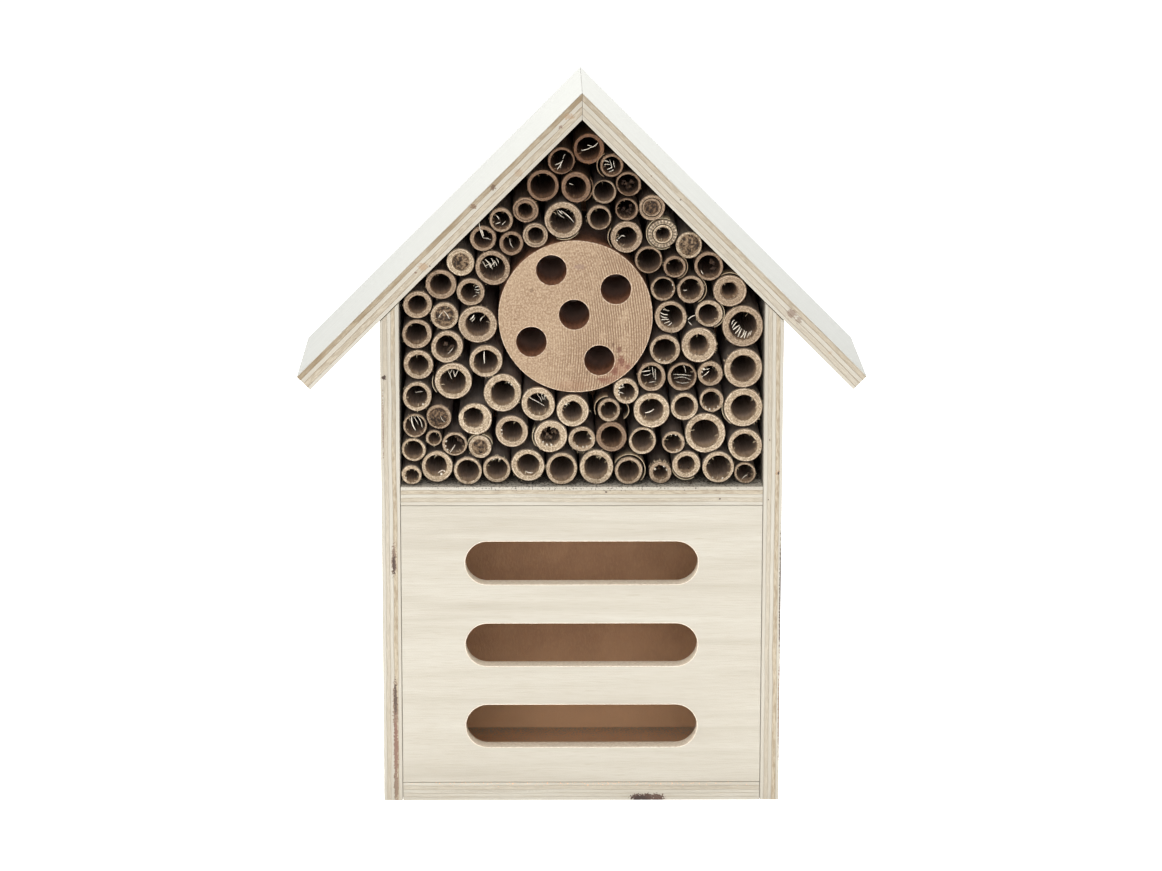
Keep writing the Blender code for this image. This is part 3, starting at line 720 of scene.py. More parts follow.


# Flaws and stains in the boards, and painted light and painted shade on the floors' top faces: centre,
# reach, strength and tint, in millimetres
SOOT = (0.06, 0.035, 0.025)
UMBER = (0.20, 0.125, 0.085)
RUST = (0.36, 0.235, 0.135)
SMOKE = (0.33, 0.29, 0.23)
BOARD_MARKS = {
    "left_wall": (
        ((-84.6, -45, 113), (1.3, 30, 8.5), 0.8, UMBER),
        ((-84.6, -45, 111), (0.8, 30, 6.0), 0.9, SOOT),
        ((-84.5, -45, 43), (1.3, 30, 16.0), 0.8, UMBER),
        ((-84.4, -45, 48), (0.8, 30, 9.0), 0.8, SOOT),
        ((-84.4, -45, 24), (1.2, 30, 17.0), 0.85, (0.20, 0.10, 0.07)),
        ((-84.5, -45, 7), (1.1, 30, 9.0), 0.8, UMBER),
        ((-88.3, -45, 197.2), (1.2, 1, 1.3), 1.0, SOOT),
        ((-84.0, -45, 188), (0.9, 30, 30.0), 0.55, SMOKE),
        ((-88.9, -45, 176), (0.35, 2, 18.0), 0.7, UMBER),
        ((-86.4, -45, 201), (0.6, 30, 22.0), 0.35, SMOKE),
    ),
    "right_wall": (
        ((87.9, -45, 153.4), (1.1, 2, 1.3), 0.9, RUST),
        ((88.3, -45, 153.2), (0.5, 2, 0.8), 1.0, SOOT),
        ((84.6, -45, 60), (0.6, 30, 14.0), 0.4, SMOKE),
        ((89.8, -45, 96), (0.7, 0.9, 34.0), 0.85, SOOT),
        ((89.8, -45, 44), (0.6, 0.9, 26.0), 0.8, UMBER),
        ((84.4, -45, 178), (0.6, 30, 12.0), 0.4, SMOKE),
        ((84.0, -45, 168.5), (0.35, 6, 0.6), 0.8, SOOT),
        ((83.8, -45, 141.0), (0.3, 6, 0.5), 0.8, SOOT),
    ),
    "roof_left": (
        ((-39.3, -45, 282.7), (1.3, 2, 1.6), 0.85, (0.12, 0.065, 0.035)),
        ((-47.9, -45, 274.2), (1.6, 2, 1.3), 0.85, (0.17, 0.10, 0.055)),
        ((-70.5, -45, 247.2), (2.4, 12, 2.0), 0.7, RUST),
        ((-73.8, -45, 244.6), (0.7, 12, 0.6), 0.9, UMBER),
        ((-67.4, -45, 247.6), (0.5, 12, 0.5), 0.9, SOOT),
        ((-6.0, -45, 314.2), (2.6, 12, 1.6), 0.6, RUST),
        ((-9.5, -45, 309.6), (0.9, 12, 0.9), 0.8, UMBER),
        ((-15.5, -45, 295.8), (0.8, 12, 0.9), 0.8, SOOT),
        ((-28.0, -45, 289.2), (2.2, 12, 2.2), 0.4, RUST),
    ),
    "roof_right": (
        ((93.2, -45, 226.2), (2.4, 12, 2.4), 0.75, UMBER),
        ((96.4, -45, 223.1), (1.7, 12, 1.7), 0.6, UMBER),
        ((43.5, -45, 277.2), (0.5, 12, 0.5), 0.8, SOOT),
        ((30.5, -45, 287.8), (0.5, 12, 0.5), 0.7, UMBER),
        ((110.5, -45, 208.2), (1.0, 12, 0.8), 0.4, RUST),
    ),
    "base_board": (
        # painted light over the base's top, inside the chamber
        ((0, 0, 8.5), (160, 44, 3), 1.0, (0.74, 0.46, 0.28)),
        ((25.6, -45, 1.2), (3.9, 2, 2.1), 1.0, (0.075, 0.04, 0.028)),
        ((30.1, -45, 1.2), (3.9, 2, 2.1), 1.0, (0.075, 0.04, 0.028)),
        ((34.6, -45, 1.2), (3.9, 2, 2.1), 1.0, (0.10, 0.055, 0.038)),
        ((27, -45, 0.9), (4.0, 2, 1.2), 0.9, (0.04, 0.022, 0.016)),
        ((-40, -45, 4.4), (26.0, 6, 0.5), 0.35, SMOKE),
        ((50, -45, 6.3), (22.0, 6, 0.4), 0.35, SMOKE),
    ),
    "shelf": (
        # painted shade over the shelf's top, under the tubes
        ((0, 0, 147), (160, 46, 3), 0.9, (0.055, 0.042, 0.034)),
        ((-14, -45, 142.9), (20.0, 6, 0.6), 0.4, SMOKE),
        ((11.0, -45, 144.6), (0.7, 6, 0.45), 0.9, SOOT),
        ((62.0, -45, 141.4), (0.6, 6, 0.4), 0.9, SOOT),
        ((-52.0, -45, 145.2), (18.0, 6, 0.4), 0.35, SMOKE),
        ((34, -45, 140.4), (30.0, 6, 0.35), 0.4, SMOKE),
    ),
}


def make_uprights():
    """The two walls, whose grain runs up and whose cross plies are stained."""
    for node in ("left_wall", "right_wall"):
        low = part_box(node)[0]
        wood = plywood("plywood_" + node, SIDEWAYS, UP, low.x / MM, (0.45, 1.0),
                       BOARD_MARKS[node])
        board(node, [rounded(wall_outline(node))], [wood])


# Where the roof boards' plies meet, and how dark and how brown their cross plies are
ROOF_LAYERS = (0.2, 0.48, 0.72, 0.95)
ROOF_PLIES = {"roof_left": (0.75, 0.9), "roof_right": (0.4, 0.7)}
ROOF_STAIN = {"roof_left": 0.85, "roof_right": 0.15}
ROOF_BLEACH = 0.75


def make_roof():
    """The roof boards, with grain down the slope, a brown upper cross ply and a pale top."""
    for node, side in (("roof_left", -1), ("roof_right", 1)):
        normal = Vector((side, 0, 1)).normalized()
        grain = Vector((side, 0, -1)).normalized()
        outline = roof_outline(node)
        low_face = Vector((outline[3][0], 0, outline[3][1])).dot(normal)
        wood = plywood("plywood_" + node, tuple(normal), tuple(grain), low_face / MM, ROOF_PLIES[node],
                       BOARD_MARKS[node], ROOF_LAYERS, ROOF_GLUE, (0.4, 1.0), ROOF_STAIN[node],
                       ROOF_BLEACH)
        board(node, [rounded(outline, (0, 3))], [wood], THIN_EDGE_ROUNDING)


# How dark the base's and the shelf's two cross plies are at their front edges
FLOOR_PLIES = {"base_board": (0.1, 0.35), "shelf": (0.5, 0.8)}


def make_floors():
    """The base board and the shelf, with their front edges showing."""
    for node, plies in FLOOR_PLIES.items():
        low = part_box(node)[0]
        wood = plywood("plywood_" + node, UP, SIDEWAYS, low.z / MM, plies, BOARD_MARKS[node])
        outline = grown(box_outline(node), JOINT_CLOSING, 0)
        board(node, [rounded(outline)], [wood], THIN_EDGE_ROUNDING)


def make_front_panel():
    """The slotted panel; the walls of its slots are paler than its face, as painted light."""
    low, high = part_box("front_panel")
    wood = plywood("plywood_front_panel", BACKWARDS, SIDEWAYS, low.y / MM)
    outline = grown(box_outline("front_panel"), JOINT_CLOSING, JOINT_CLOSING)
    loops = [rounded(outline), *slot_loops("front_panel")]
    piece = board("front_panel", loops, [wood, broken_edge()], SLOT_EDGE_ROUNDING)
    for face in piece.data.polygons:
        # the slot walls take the pale wood with painted light
        if among_slots(face.center, low, high) and abs(face.normal.y) < 0.95:
            face.material_index = 1


def make_back_panel():
    """The rear board, with a hole round each of the nails that hold it."""
    loops = [rounded(gable_outline("back_panel"))]
    for node in sorted(NODES):
        if node.startswith("back_nail_"):
            centre, radius = disc(node)
            loops.append(wavy_circle(centre, radius + NAIL_ROOM, NAIL_STEPS, 0.0))
    board("back_panel", loops, [hardboard()], THIN_EDGE_ROUNDING)


# ---------------------------------------------------------------------- log

def make_log():
    """The drilled slice: a disc with blind holes and broken edges, placed as in the CAD."""
    low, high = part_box("log_slice")
    centre, radius = disc("log_slice")
    points = [v.co for v in NODES["log_slice"].data.vertices]
    holes = hole_circles(points, low.y, centre, radius)
    floor = max(p.y for p in points if p.y < high.y - HOLE_STOP)
    loops = [wavy_circle(centre, radius - LOG_WAVE, LOG_STEPS, LOG_WAVE)]
    loops += [wavy_circle((x, z), r, HOLE_STEPS, HOLE_WAVE) for x, z, r in holes]
    form = bmesh.new()
    rims = []
    for loop in loops:
        points = [form.verts.new((x, low.y, z)) for x, z in loop]
        rims.append([form.edges.new(pair) for pair in zip(points, points[1:] + points[:1])])
    bmesh.ops.triangle_fill(form, edges=form.edges[:], use_beauty=True, normal=(0, -1, 0))
    for number, rim in enumerate(rims):
        depth = (high.y if number == 0 else floor) - low.y
        sides = bmesh.ops.extrude_edge_only(form, edges=rim)["geom"]
        far = [item for item in sides if isinstance(item, bmesh.types.BMVert)]
        bmesh.ops.translate(form, verts=far, vec=(0, depth, 0))
        ends = [item for item in sides if isinstance(item, bmesh.types.BMEdge)
                and all(v in far for v in item.verts)]
        bmesh.ops.contextual_create(form, geom=ends)
    bmesh.ops.recalc_face_normals(form, faces=form.faces)
    front_rims = [edge for rim in rims for edge in rim if edge.is_valid]
    broken = bmesh.ops.bevel(form, geom=front_rims, offset=EDGE_ROUNDING, segments=2, profile=0.5,
                             affect="EDGES", clamp_overlap=True)["faces"]
    for face in form.faces:
        x, _, z = face.calc_center_median()
        in_hole = any(hypot(x - hx, z - hz) < r + HOLE_WAVE for hx, hz, r in holes)
        # the holes and the round side take the drilled wood, dark with painted shade
        face.material_index = 2 if in_hole or abs(face.normal.y) < 0.5 else 0
    for face in broken:
        face.material_index = 1
    mesh = bpy.data.meshes.new("log_slice")
    form.to_mesh(mesh)
    form.free()
    soften(mesh)
    piece = bpy.data.objects.new("drilled_log_slice", mesh)
    middle = (centre[0] / MM, low.y / MM, centre[1] / MM)
    materials = [log_wood(middle), log_rim(), drilled_wood()]
    finished(piece, materials, "log_slice")


def hole_circles(points, front, centre, radius):
    """The drilled holes' centres and radii, from their rims in the CAD slice's front."""
    rim = {(round(p.x, 6), round(p.z, 6)) for p in points if abs(p.y - front) < 0.01 * MM}
    rim = [p for p in rim if hypot(p[0] - centre[0], p[1] - centre[1]) < radius - RIM_MARGIN]
    found = []
    while rim:
        group = [rim.pop()]
        for point in group:
            near = [p for p in rim if hypot(p[0] - point[0], p[1] - point[1]) < RIM_SPACING]
            group += near
            rim = [p for p in rim if p not in near]
        xs, zs = zip(*group)
        x, z = (min(xs) + max(xs)) / 2, (min(zs) + max(zs)) / 2
        found.append((x, z, max(hypot(px - x, pz - z) for px, pz in group)))
    return sorted(found)


def wavy_circle(centre, radius, steps, wave):
    x, z = centre
    loop = []
    for step in range(steps):
        angle = 2 * pi * step / steps
        bump = noise.noise(Vector((cos(angle) * 2.5 + x * 900, sin(angle) * 2.5, z * 900)))
        reach = radius + wave * bump
        loop.append((x + reach * cos(angle), z + reach * sin(angle)))
    return loop


# ------------------------------------------------------------------- bamboo

CUT, SKIN, BORE, FIBRE, PITH = range(5)


class Form:
    """Points and faces being gathered into one piece.

    Each point says how far across the tube's wall it lies, from the bore to the skin (on the skin, how
    much of its own colour shows over grey painted light), and how much shade it has: painted shade on the
    skin, in a toothed rim's notches and on lumps of pith, painted light deep in the bore, and the dark of
    a groove.
    """

    def __init__(self):
        self.points = []
        self.across = []
        self.shade = []
        self.faces = []
        self.kinds = []

    def add(self, points, across, shade):
        """Points that share one shade, or have a list of them."""
        start = len(self.points)
        self.points += points
        self.across += [across] * len(points)
        self.shade += shade if isinstance(shade, list) else [shade] * len(points)
        return list(range(start, len(self.points)))

    def face(self, corners, kind):
        self.faces.append(tuple(corners))
        self.kinds.append(kind)

    def bridge(self, ring, next_ring, kind):
        count = len(ring)
        for i in range(count):
            j = (i + 1) % count
            self.face((ring[i], ring[j], next_ring[j], next_ring[i]), kind)

    def sleeve(self, rings, kind, shade=0.0):
        """Closed rings of points in a row, capped at both ends."""
        added = [self.add(ring, 1.0, shade) for ring in rings]
        for ring, next_ring in zip(added, added[1:]):
            self.bridge(ring, next_ring, kind)
        self.face(added[0][::-1], kind)
        self.face(added[-1], kind)

    def mesh(self, name, tone):
        mesh = bpy.data.meshes.new(name)
        mesh.from_pydata(self.points, [], self.faces)
        form = bmesh.new()
        form.from_mesh(mesh)
        bmesh.ops.recalc_face_normals(form, faces=form.faces)
        form.to_mesh(mesh)
        form.free()
        mesh.polygons.foreach_set("material_index", self.kinds)
        tones = [tone] * len(self.points)
        for label, values in (("across", self.across), ("shade", self.shade), ("tone", tones)):
            mesh.attributes.new(label, "FLOAT", "POINT").data.foreach_set("value", values)
        mesh.shade_smooth()
        mesh.set_sharp_from_angle(angle=TUBE_SHARP_ANGLE)
        return mesh


class Tube:
    """One bamboo tube as the CAD has it."""

    def __init__(self, centre, radius, bore, front, rear):
        self.x, self.z = centre
        self.radius = radius
        self.bore = bore
        self.front = front
        self.rear = rear
        self.filled = False
        self.name = ""

    def point(self, x, y, z):
        """A point given from the middle of the mouth."""
        return (self.x + x, self.front + y, self.z + z)


def tubes_of(node):
    """The tubes in a CAD group, from the rings of corners at their mouths."""
    low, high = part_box(node)
    levels = {}
    for vertex in NODES[node].data.vertices:
        x, y, z = vertex.co
        if y < low.y + MOUTH_DEPTH:
            levels.setdefault(round(y, 5), set()).add((round(x, 6), round(z, 6)))
    tubes = []
    for y in sorted(levels):
        xs, zs = zip(*levels[y])
        centre = ((min(xs) + max(xs)) / 2, (min(zs) + max(zs)) / 2)
        plugged = [t for t in tubes if hypot(t.x - centre[0], t.z - centre[1]) < MM]
        if plugged:
            plugged[0].filled = True
            continue
        reaches = [hypot(x - centre[0], z - centre[1]) for x, z in levels[y]]
        tubes.append(Tube(centre, max(reaches), min(reaches), y, high.y))
    number = node.removeprefix("tube_group_")
    if len(tubes) == 1:
        tubes[0].name = f"tube_{number}"
        return tubes
    a, b = tubes
    level = abs(a.z - b.z) < LEVEL_TOLERANCE
    words = ("left", "right") if level else ("lower", "upper")
    for word, tube in zip(words, sorted(tubes, key=lambda t: t.x if level else t.z)):
        tube.name = f"tube_{number}_{word}"
    return tubes


# What sets a tube apart, by its name without "tube_", in millimetres and degrees from +X:
#   shift    the bore's place off the tube's middle
#   ragged   how torn the bore's rim is
#   groove   where a dark ring parts the wall, from the bore (0) to the skin (1)
#   slivers  loose fibres: two ends as x, z in shares of the bore's radius, and a width
#   hairs    how many short fibres grow from the rim, and hair_arc where
#   fuzz     fibres round the outside: first angle, last angle, how many, length
#   chips    pale crumbs on the bore's rim: angle and size
#   lumps    pith in the bore: x, z in shares of the bore's radius, and size
#   sheaths  loose strips of skin: gap to the tube, first and last angle
#   teeth    the outer part of the sawn end is notched all round
#   funnel   how much the bore narrows just inside
#   pith_depth, pith_bumps    how far in the pith of a filled tube starts, and how rough it is
#   tone     how brown the tube is, from 0 to 1; without it, its height decides
TRAITS = {
    "01_left": dict(chips=((200, 0.8),)),
    "01_right": dict(shift=(-0.5, 0.5), slivers=((0.2, -0.75, 0.75, -0.45, 0.5),), chips=((300, 1.3),
        (325, 1.0))),
    "02_left": dict(hairs=2, ragged=0.08),
    "02_right": dict(chips=((75, 0.9), (110, 0.8)), hair_arc=(60, 150), hairs=6),
    "03_left": dict(slivers=((-0.25, -0.62, 0.42, -0.72, 0.55),), shift=(0.2, 0.3)),
    "03_right": dict(shift=(0.1, 0.1), ragged=0.15, tone=0.15),
    "04_left": dict(hairs=6, hair_arc=(0, 90), fuzz=(40, 120, 5, 1.3)),
    "04_right": dict(sheaths=((1.1, -40, 150),), ragged=0.12, tone=0.3),
    "05_left": dict(fuzz=(30, 165, 22, 1.8), chips=((150, 1.3), (20, 1.0), (60, 0.8)),
        lumps=((-0.3, 0.2, 1.7),), ragged=0.4, tone=0.35),
    "05_right": dict(lumps=((0.4, -0.6, 1.2), (-0.5, -0.5, 1.0)), sheaths=((0.5, 200, 300),)),
    "06_left": dict(chips=((290, 0.9), (240, 0.7)), tone=0.1),
    "06_right": dict(lumps=((0.5, -0.5, 2.2),), slivers=((-0.3, -0.7, 0.3, -0.2, 0.35),), tone=0.3),
    "07_lower": dict(ragged=0.1, hairs=2),
    "07_upper": dict(slivers=((-0.35, 0.96, 0.04, -0.46, 0.75), (0.2, 0.96, 0.7, -0.2, 0.45),
        (-0.15, 0.9, 0.32, 0.1, 0.3)), tone=0.25),
    "08_left": dict(tone=0.3, ragged=0.1),
    "08_right": dict(lumps=((0.45, 0.4, 2.6), (0.15, 0.6, 1.8), (0.6, 0.0, 1.6)), chips=((160, 1.0),
        (190, 0.9), (215, 1.0)), slivers=((0.0, -0.05, -0.5, -0.8, 0.45),), tone=0.3),
    "09_lower": dict(sheaths=((0.4, 95, 175), (0.4, 10, 80)), pith_depth=0.8, pith_bumps=1.4, tone=0.0),
    "09_upper": dict(shift=(-0.9, 0.7), ragged=0.4, hairs=3),
    "10_lower": dict(chips=((175, 0.9), (195, 0.8)), shift=(0.1, 0.2), tone=0.2),
    "10_upper": dict(chips=((45, 0.9), (60, 0.7)), hairs=3),
    "11_left": dict(lumps=((-0.1, -0.1, 3.4), (0.4, 0.3, 2.4), (-0.5, 0.4, 2.0)), chips=((250, 1.2),
        (280, 1.0), (220, 0.9)), ragged=0.45, sheaths=((0.6, 150, 215),)),
    "11_right": dict(ragged=0.5, chips=((5, 1.2), (275, 1.1), (300, 0.9), (235, 0.9)), fuzz=(230, 320, 7,
        1.2), tone=0.25),
    "12_lower": dict(groove=0.55, tone=0.75, shift=(0.0, 0.0), ragged=0.1),
    "12_upper": dict(sheaths=((1.2, 95, 200), (3.6, -32, 26)), tone=0.4),
    "13_lower": dict(hairs=3, ragged=0.15),
    "13_upper": dict(slivers=((-0.55, -0.28, 0.2, 0.06, 0.6),), hairs=2),
    "14_left": dict(chips=((70, 0.8), (100, 0.7), (300, 0.6)), ragged=0.3, tone=0.25),
    "14_right": dict(hairs=2, ragged=0.12),
    "15_lower": dict(ragged=0.35, hairs=5),
    "15_upper": dict(fuzz=(-60, 90, 14, 1.1), shift=(0.2, 0.0), sheaths=((0.5, 170, 235),)),
    "16_lower": dict(pith_depth=0.9, slivers=((0.2, 0.1, 0.65, -0.5, 0.3),), tone=0.35,
        lumps=((0.1, 0.25, 2.6),)),
    "16_upper": dict(chips=((310, 1.2), (330, 0.8)), hairs=3, slivers=((-0.1, 0.35, 0.6, 0.45, 0.2),)),
    "17_left": dict(slivers=((-0.8, 0.6, 0.55, -0.15, 0.35), (0.0, 0.75, 0.3, 0.25, 0.3),
        (0.3, 0.85, 0.5, 0.4, 0.3), (0.55, 0.8, 0.65, 0.35, 0.25)), chips=((50, 0.9), (70, 0.8),
        (35, 0.7))),
    "17_right": dict(ragged=0.35, chips=((130, 1.1),), hairs=5, hair_arc=(90, 200), fuzz=(-5, 12, 2, 2.0)),
    "18_lower": dict(groove=0.55, ragged=0.15, hairs=2),
    "18_upper": dict(slivers=((-0.8, 0.15, 0.7, 0.05, 0.3), (-0.75, -0.2, 0.65, -0.3, 0.25),
        (-0.6, -0.45, 0.5, -0.5, 0.25), (0.1, 0.9, 0.25, 0.3, 0.25)), lumps=((0.0, -0.55, 2.6),
        (-0.5, -0.3, 1.8)), tone=0.5),
    "19_lower": dict(chips=((230, 0.9), (260, 0.9), (290, 0.8), (320, 0.7)), ragged=0.3, tone=0.25),
    "19_upper": dict(chips=((140, 1.4), (165, 0.9), (200, 0.8)), slivers=((-0.75, -0.25, -0.1, 0.35, 0.5),
        (-0.6, 0.55, 0.0, 0.7, 0.3)), tone=0.3),
    "20_lower": dict(chips=((150, 1.2), (175, 1.1), (200, 0.9), (120, 0.9)),
        slivers=((-0.8, 0.35, -0.25, 0.6, 0.4), (-0.85, -0.1, -0.35, -0.2, 0.4))),
    "20_upper": dict(slivers=((-0.9, 0.4, -0.1, 0.55, 0.5), (-0.7, 0.1, 0.0, 0.3, 0.3),
        (0.1, 0.85, 0.25, -0.1, 0.3), (0.35, 0.7, 0.4, -0.3, 0.3), (-0.2, -0.6, 0.4, -0.5, 0.3)),
        lumps=((0.3, 0.0, 2.2), (0.1, -0.5, 2.4)), tone=0.45),
    "21_lower": dict(slivers=((-0.35, 0.75, -0.1, 0.2, 0.35), (0.15, 0.35, 0.4, 0.9, 0.4),
        (0.15, 0.35, 0.05, 0.85, 0.4), (-0.05, 0.95, -0.25, 0.55, 0.3)), sheaths=((1.0, 168, 216),),
        ragged=0.35),
    "21_upper": dict(lumps=((0.2, -0.5, 2.4), (0.5, -0.2, 1.8), (-0.1, 0.1, 1.8)),
        slivers=((0.1, -0.7, 0.6, -0.1, 0.25),), ragged=0.35),
    "22_lower": dict(ragged=0.35),
    "22_upper": dict(ragged=0.35),
    "23_lower": dict(slivers=((-0.12, 0.85, -0.1, -0.15, 0.6),), fuzz=(250, 300, 8, 0.9)),
    "23_upper": dict(slivers=((-0.65, 0.35, -0.3, 0.75, 0.7), (-0.5, 0.2, -0.25, 0.55, 0.4),
        (0.2, 0.25, 0.45, 0.62, 0.4))),
    "24": dict(funnel=0.8, ragged=0.4, fuzz=(-40, 60, 8, 1.2)),
    "25_lower": dict(chips=((270, 0.8), (245, 0.8)), hairs=7, hair_arc=(200, 330), ragged=0.35),
    "25_upper": dict(slivers=((-0.95, 0.35, -0.3, 0.15, 0.55), (-0.9, 0.05, -0.35, -0.1, 0.5),
        (-0.85, -0.3, -0.2, -0.25, 0.45), (-0.6, -0.6, -0.1, -0.4, 0.45), (-0.7, 0.6, -0.2, 0.5, 0.35),
        (-0.3, -0.8, 0.05, -0.5, 0.35), (1.4, -0.3, 2.0, 0.1, 0.5), (1.45, -0.45, 1.75, -0.75, 0.4)),
        lumps=((-0.4, -0.4, 2.0),)),
    "26_lower": dict(hairs=2, ragged=0.12, fuzz=(120, 200, 6, 1.0)),
    "26_upper": dict(slivers=((-0.75, -0.15, -0.45, 0.3, 0.6), (-0.7, -0.3, -0.25, 0.05, 0.6),
        (-0.55, -0.55, -0.2, -0.05, 0.7), (-0.35, -0.8, -0.1, -0.2, 0.65), (-0.15, -0.85, 0.1, -0.3, 0.7),
        (0.1, -0.9, 0.25, -0.4, 0.6), (0.3, -0.85, 0.5, -0.4, 0.5), (0.5, -0.7, 0.62, -0.35, 0.4),
        (-0.8, 0.1, -0.6, 0.45, 0.45)), lumps=((-0.4, -0.5, 2.6), (0.1, -0.65, 2.4))),
    "27_left": dict(hairs=3, ragged=0.3),
    "27_right": dict(slivers=((-0.1, 0.5, 0.45, -0.3, 0.45), (-0.6, -0.2, -0.2, 0.4, 0.3)), pith_depth=0.9,
        tone=0.1),
    "28_left": dict(shift=(-0.2, 0.2), ragged=0.2),
    "28_right": dict(slivers=((0.95, 0.6, 0.45, 0.5, 0.35), (0.95, 0.25, 0.4, 0.3, 0.35),
        (0.9, -0.1, 0.5, 0.05, 0.3), (0.2, -0.5, 0.6, -0.3, 0.25)), hairs=6, hair_arc=(-60, 60)),
    "29_lower": dict(sheaths=((0.6, -70, 45),), hairs=3, tone=0.25),
    "29_upper": dict(funnel=0.7, ragged=0.3, sheaths=((0.5, 60, 120),)),
    "30_left": dict(chips=((20, 0.8), (340, 0.7)), hairs=3),
    "30_right": dict(sheaths=((0.6, -60, 50),), slivers=((-0.7, -0.1, -0.35, -0.1, 0.4),)),
    "31_left": dict(pith_depth=0.7, pith_bumps=1.3, tone=0.1),
    "31_right": dict(slivers=((-0.75, 0.5, -0.45, 0.0, 0.35), (-0.55, 0.65, -0.15, 0.0, 0.4),
        (-0.35, 0.5, 0.0, -0.1, 0.4), (-0.1, 0.75, 0.15, 0.1, 0.4), (0.1, 0.6, 0.35, 0.15, 0.35),
        (-0.2, 0.05, 0.2, 0.45, 0.35), (-0.6, 0.1, -0.1, 0.35, 0.3), (0.3, 0.75, 0.5, 0.35, 0.3))),
    "32_left": dict(hairs=2, ragged=0.08),
    "32_right": dict(sheaths=((0.6, -75, 55),), ragged=0.25),
    "33_lower": dict(lumps=((0.35, 0.2, 2.6), (0.4, -0.35, 2.2)), hairs=3,
        slivers=((-0.5, -0.7, -0.7, -0.3, 0.35),)),
    "33_upper": dict(pith_depth=0.8, pith_bumps=1.1, tone=0.0),
    "34_left": dict(slivers=((-0.45, 1.75, -0.02, 0.1, 0.4), (-0.25, 1.0, 0.0, 0.3, 0.8),
        (0.0, 0.05, 0.8, -0.1, 0.25))),
    "34_right": dict(lumps=((-0.2, 0.1, 1.8),), slivers=((-0.2, 0.5, 0.15, -0.5, 0.3),)),
    "35_lower": dict(groove=0.6, hairs=2, tone=0.45),
    "35_upper": dict(slivers=((-0.15, 0.75, 0.85, -0.15, 0.42), (-0.4, 0.6, 0.1, 0.2, 0.3),
        (-0.35, 0.8, -0.05, 0.5, 0.4)), sheaths=((0.5, 250, 320),), tone=0.35),
    "36_lower": dict(slivers=((-0.55, 0.1, -0.15, 0.08, 0.4), (-0.8, -0.2, -0.5, 0.1, 0.3)),
        chips=((200, 0.8),), sheaths=((0.9, 150, 215),), tone=0.35),
    "36_upper": dict(lumps=((0.3, -0.4, 2.6), (-0.3, -0.2, 2.0), (0.5, 0.2, 1.6)), tone=0.75),
    "37_lower": dict(teeth=True, groove=0.42, tone=0.0, sheaths=((0.35, 60, 300),)),
    "37_upper": dict(groove=0.5, pith_depth=0.9, tone=0.6),
    "38_left": dict(slivers=((-0.5, 0.5, -0.2, 0.1, 0.35), (-0.6, -0.4, -0.1, -0.2, 0.35),
        (0.1, -0.5, 0.5, -0.1, 0.3)), lumps=((-0.2, -0.3, 1.8),), tone=0.6),
    "38_right": dict(groove=0.62, tone=0.75, fuzz=(20, 130, 8, 0.9)),
    "39_lower": dict(ragged=0.08, hairs=3, tone=0.5),
    "39_upper": dict(ragged=0.06, hairs=1, tone=0.35),
    "40_left": dict(hairs=2, tone=0.85),
    "40_right": dict(slivers=((-0.6, 0.35, -0.25, 0.25, 0.35),), sheaths=((0.5, -60, 30),)),
    "41_lower": dict(lumps=((0.0, -0.3, 3.0), (0.4, 0.1, 2.4), (-0.4, 0.0, 2.0)), tone=0.7),
    "41_upper": dict(slivers=((-0.9, 0.5, -0.3, 0.4, 0.35), (-0.8, 0.1, -0.2, 0.1, 0.35),
        (-0.5, -0.4, 0.1, -0.1, 0.35), (-0.3, -0.7, 0.2, -0.4, 0.3), (-0.2, 0.6, 0.0, -0.3, 0.3),
        (0.2, 0.5, 0.35, -0.2, 0.25)), sheaths=((1.2, 120, 235),), tone=0.8),
    "42_left": dict(slivers=((-0.6, -0.3, 0.0, -0.05, 0.35), (-0.4, -0.7, -0.1, -0.2, 0.35),
        (-0.1, -0.6, 0.1, 0.1, 0.3), (0.1, 0.2, 0.25, 0.6, 0.25))),
    "42_right": dict(slivers=((-0.6, -0.15, 0.15, 0.05, 0.4), (0.1, 0.1, 0.8, 0.5, 0.4),
        (-0.1, 0.3, 0.3, 0.25, 0.25))),
}


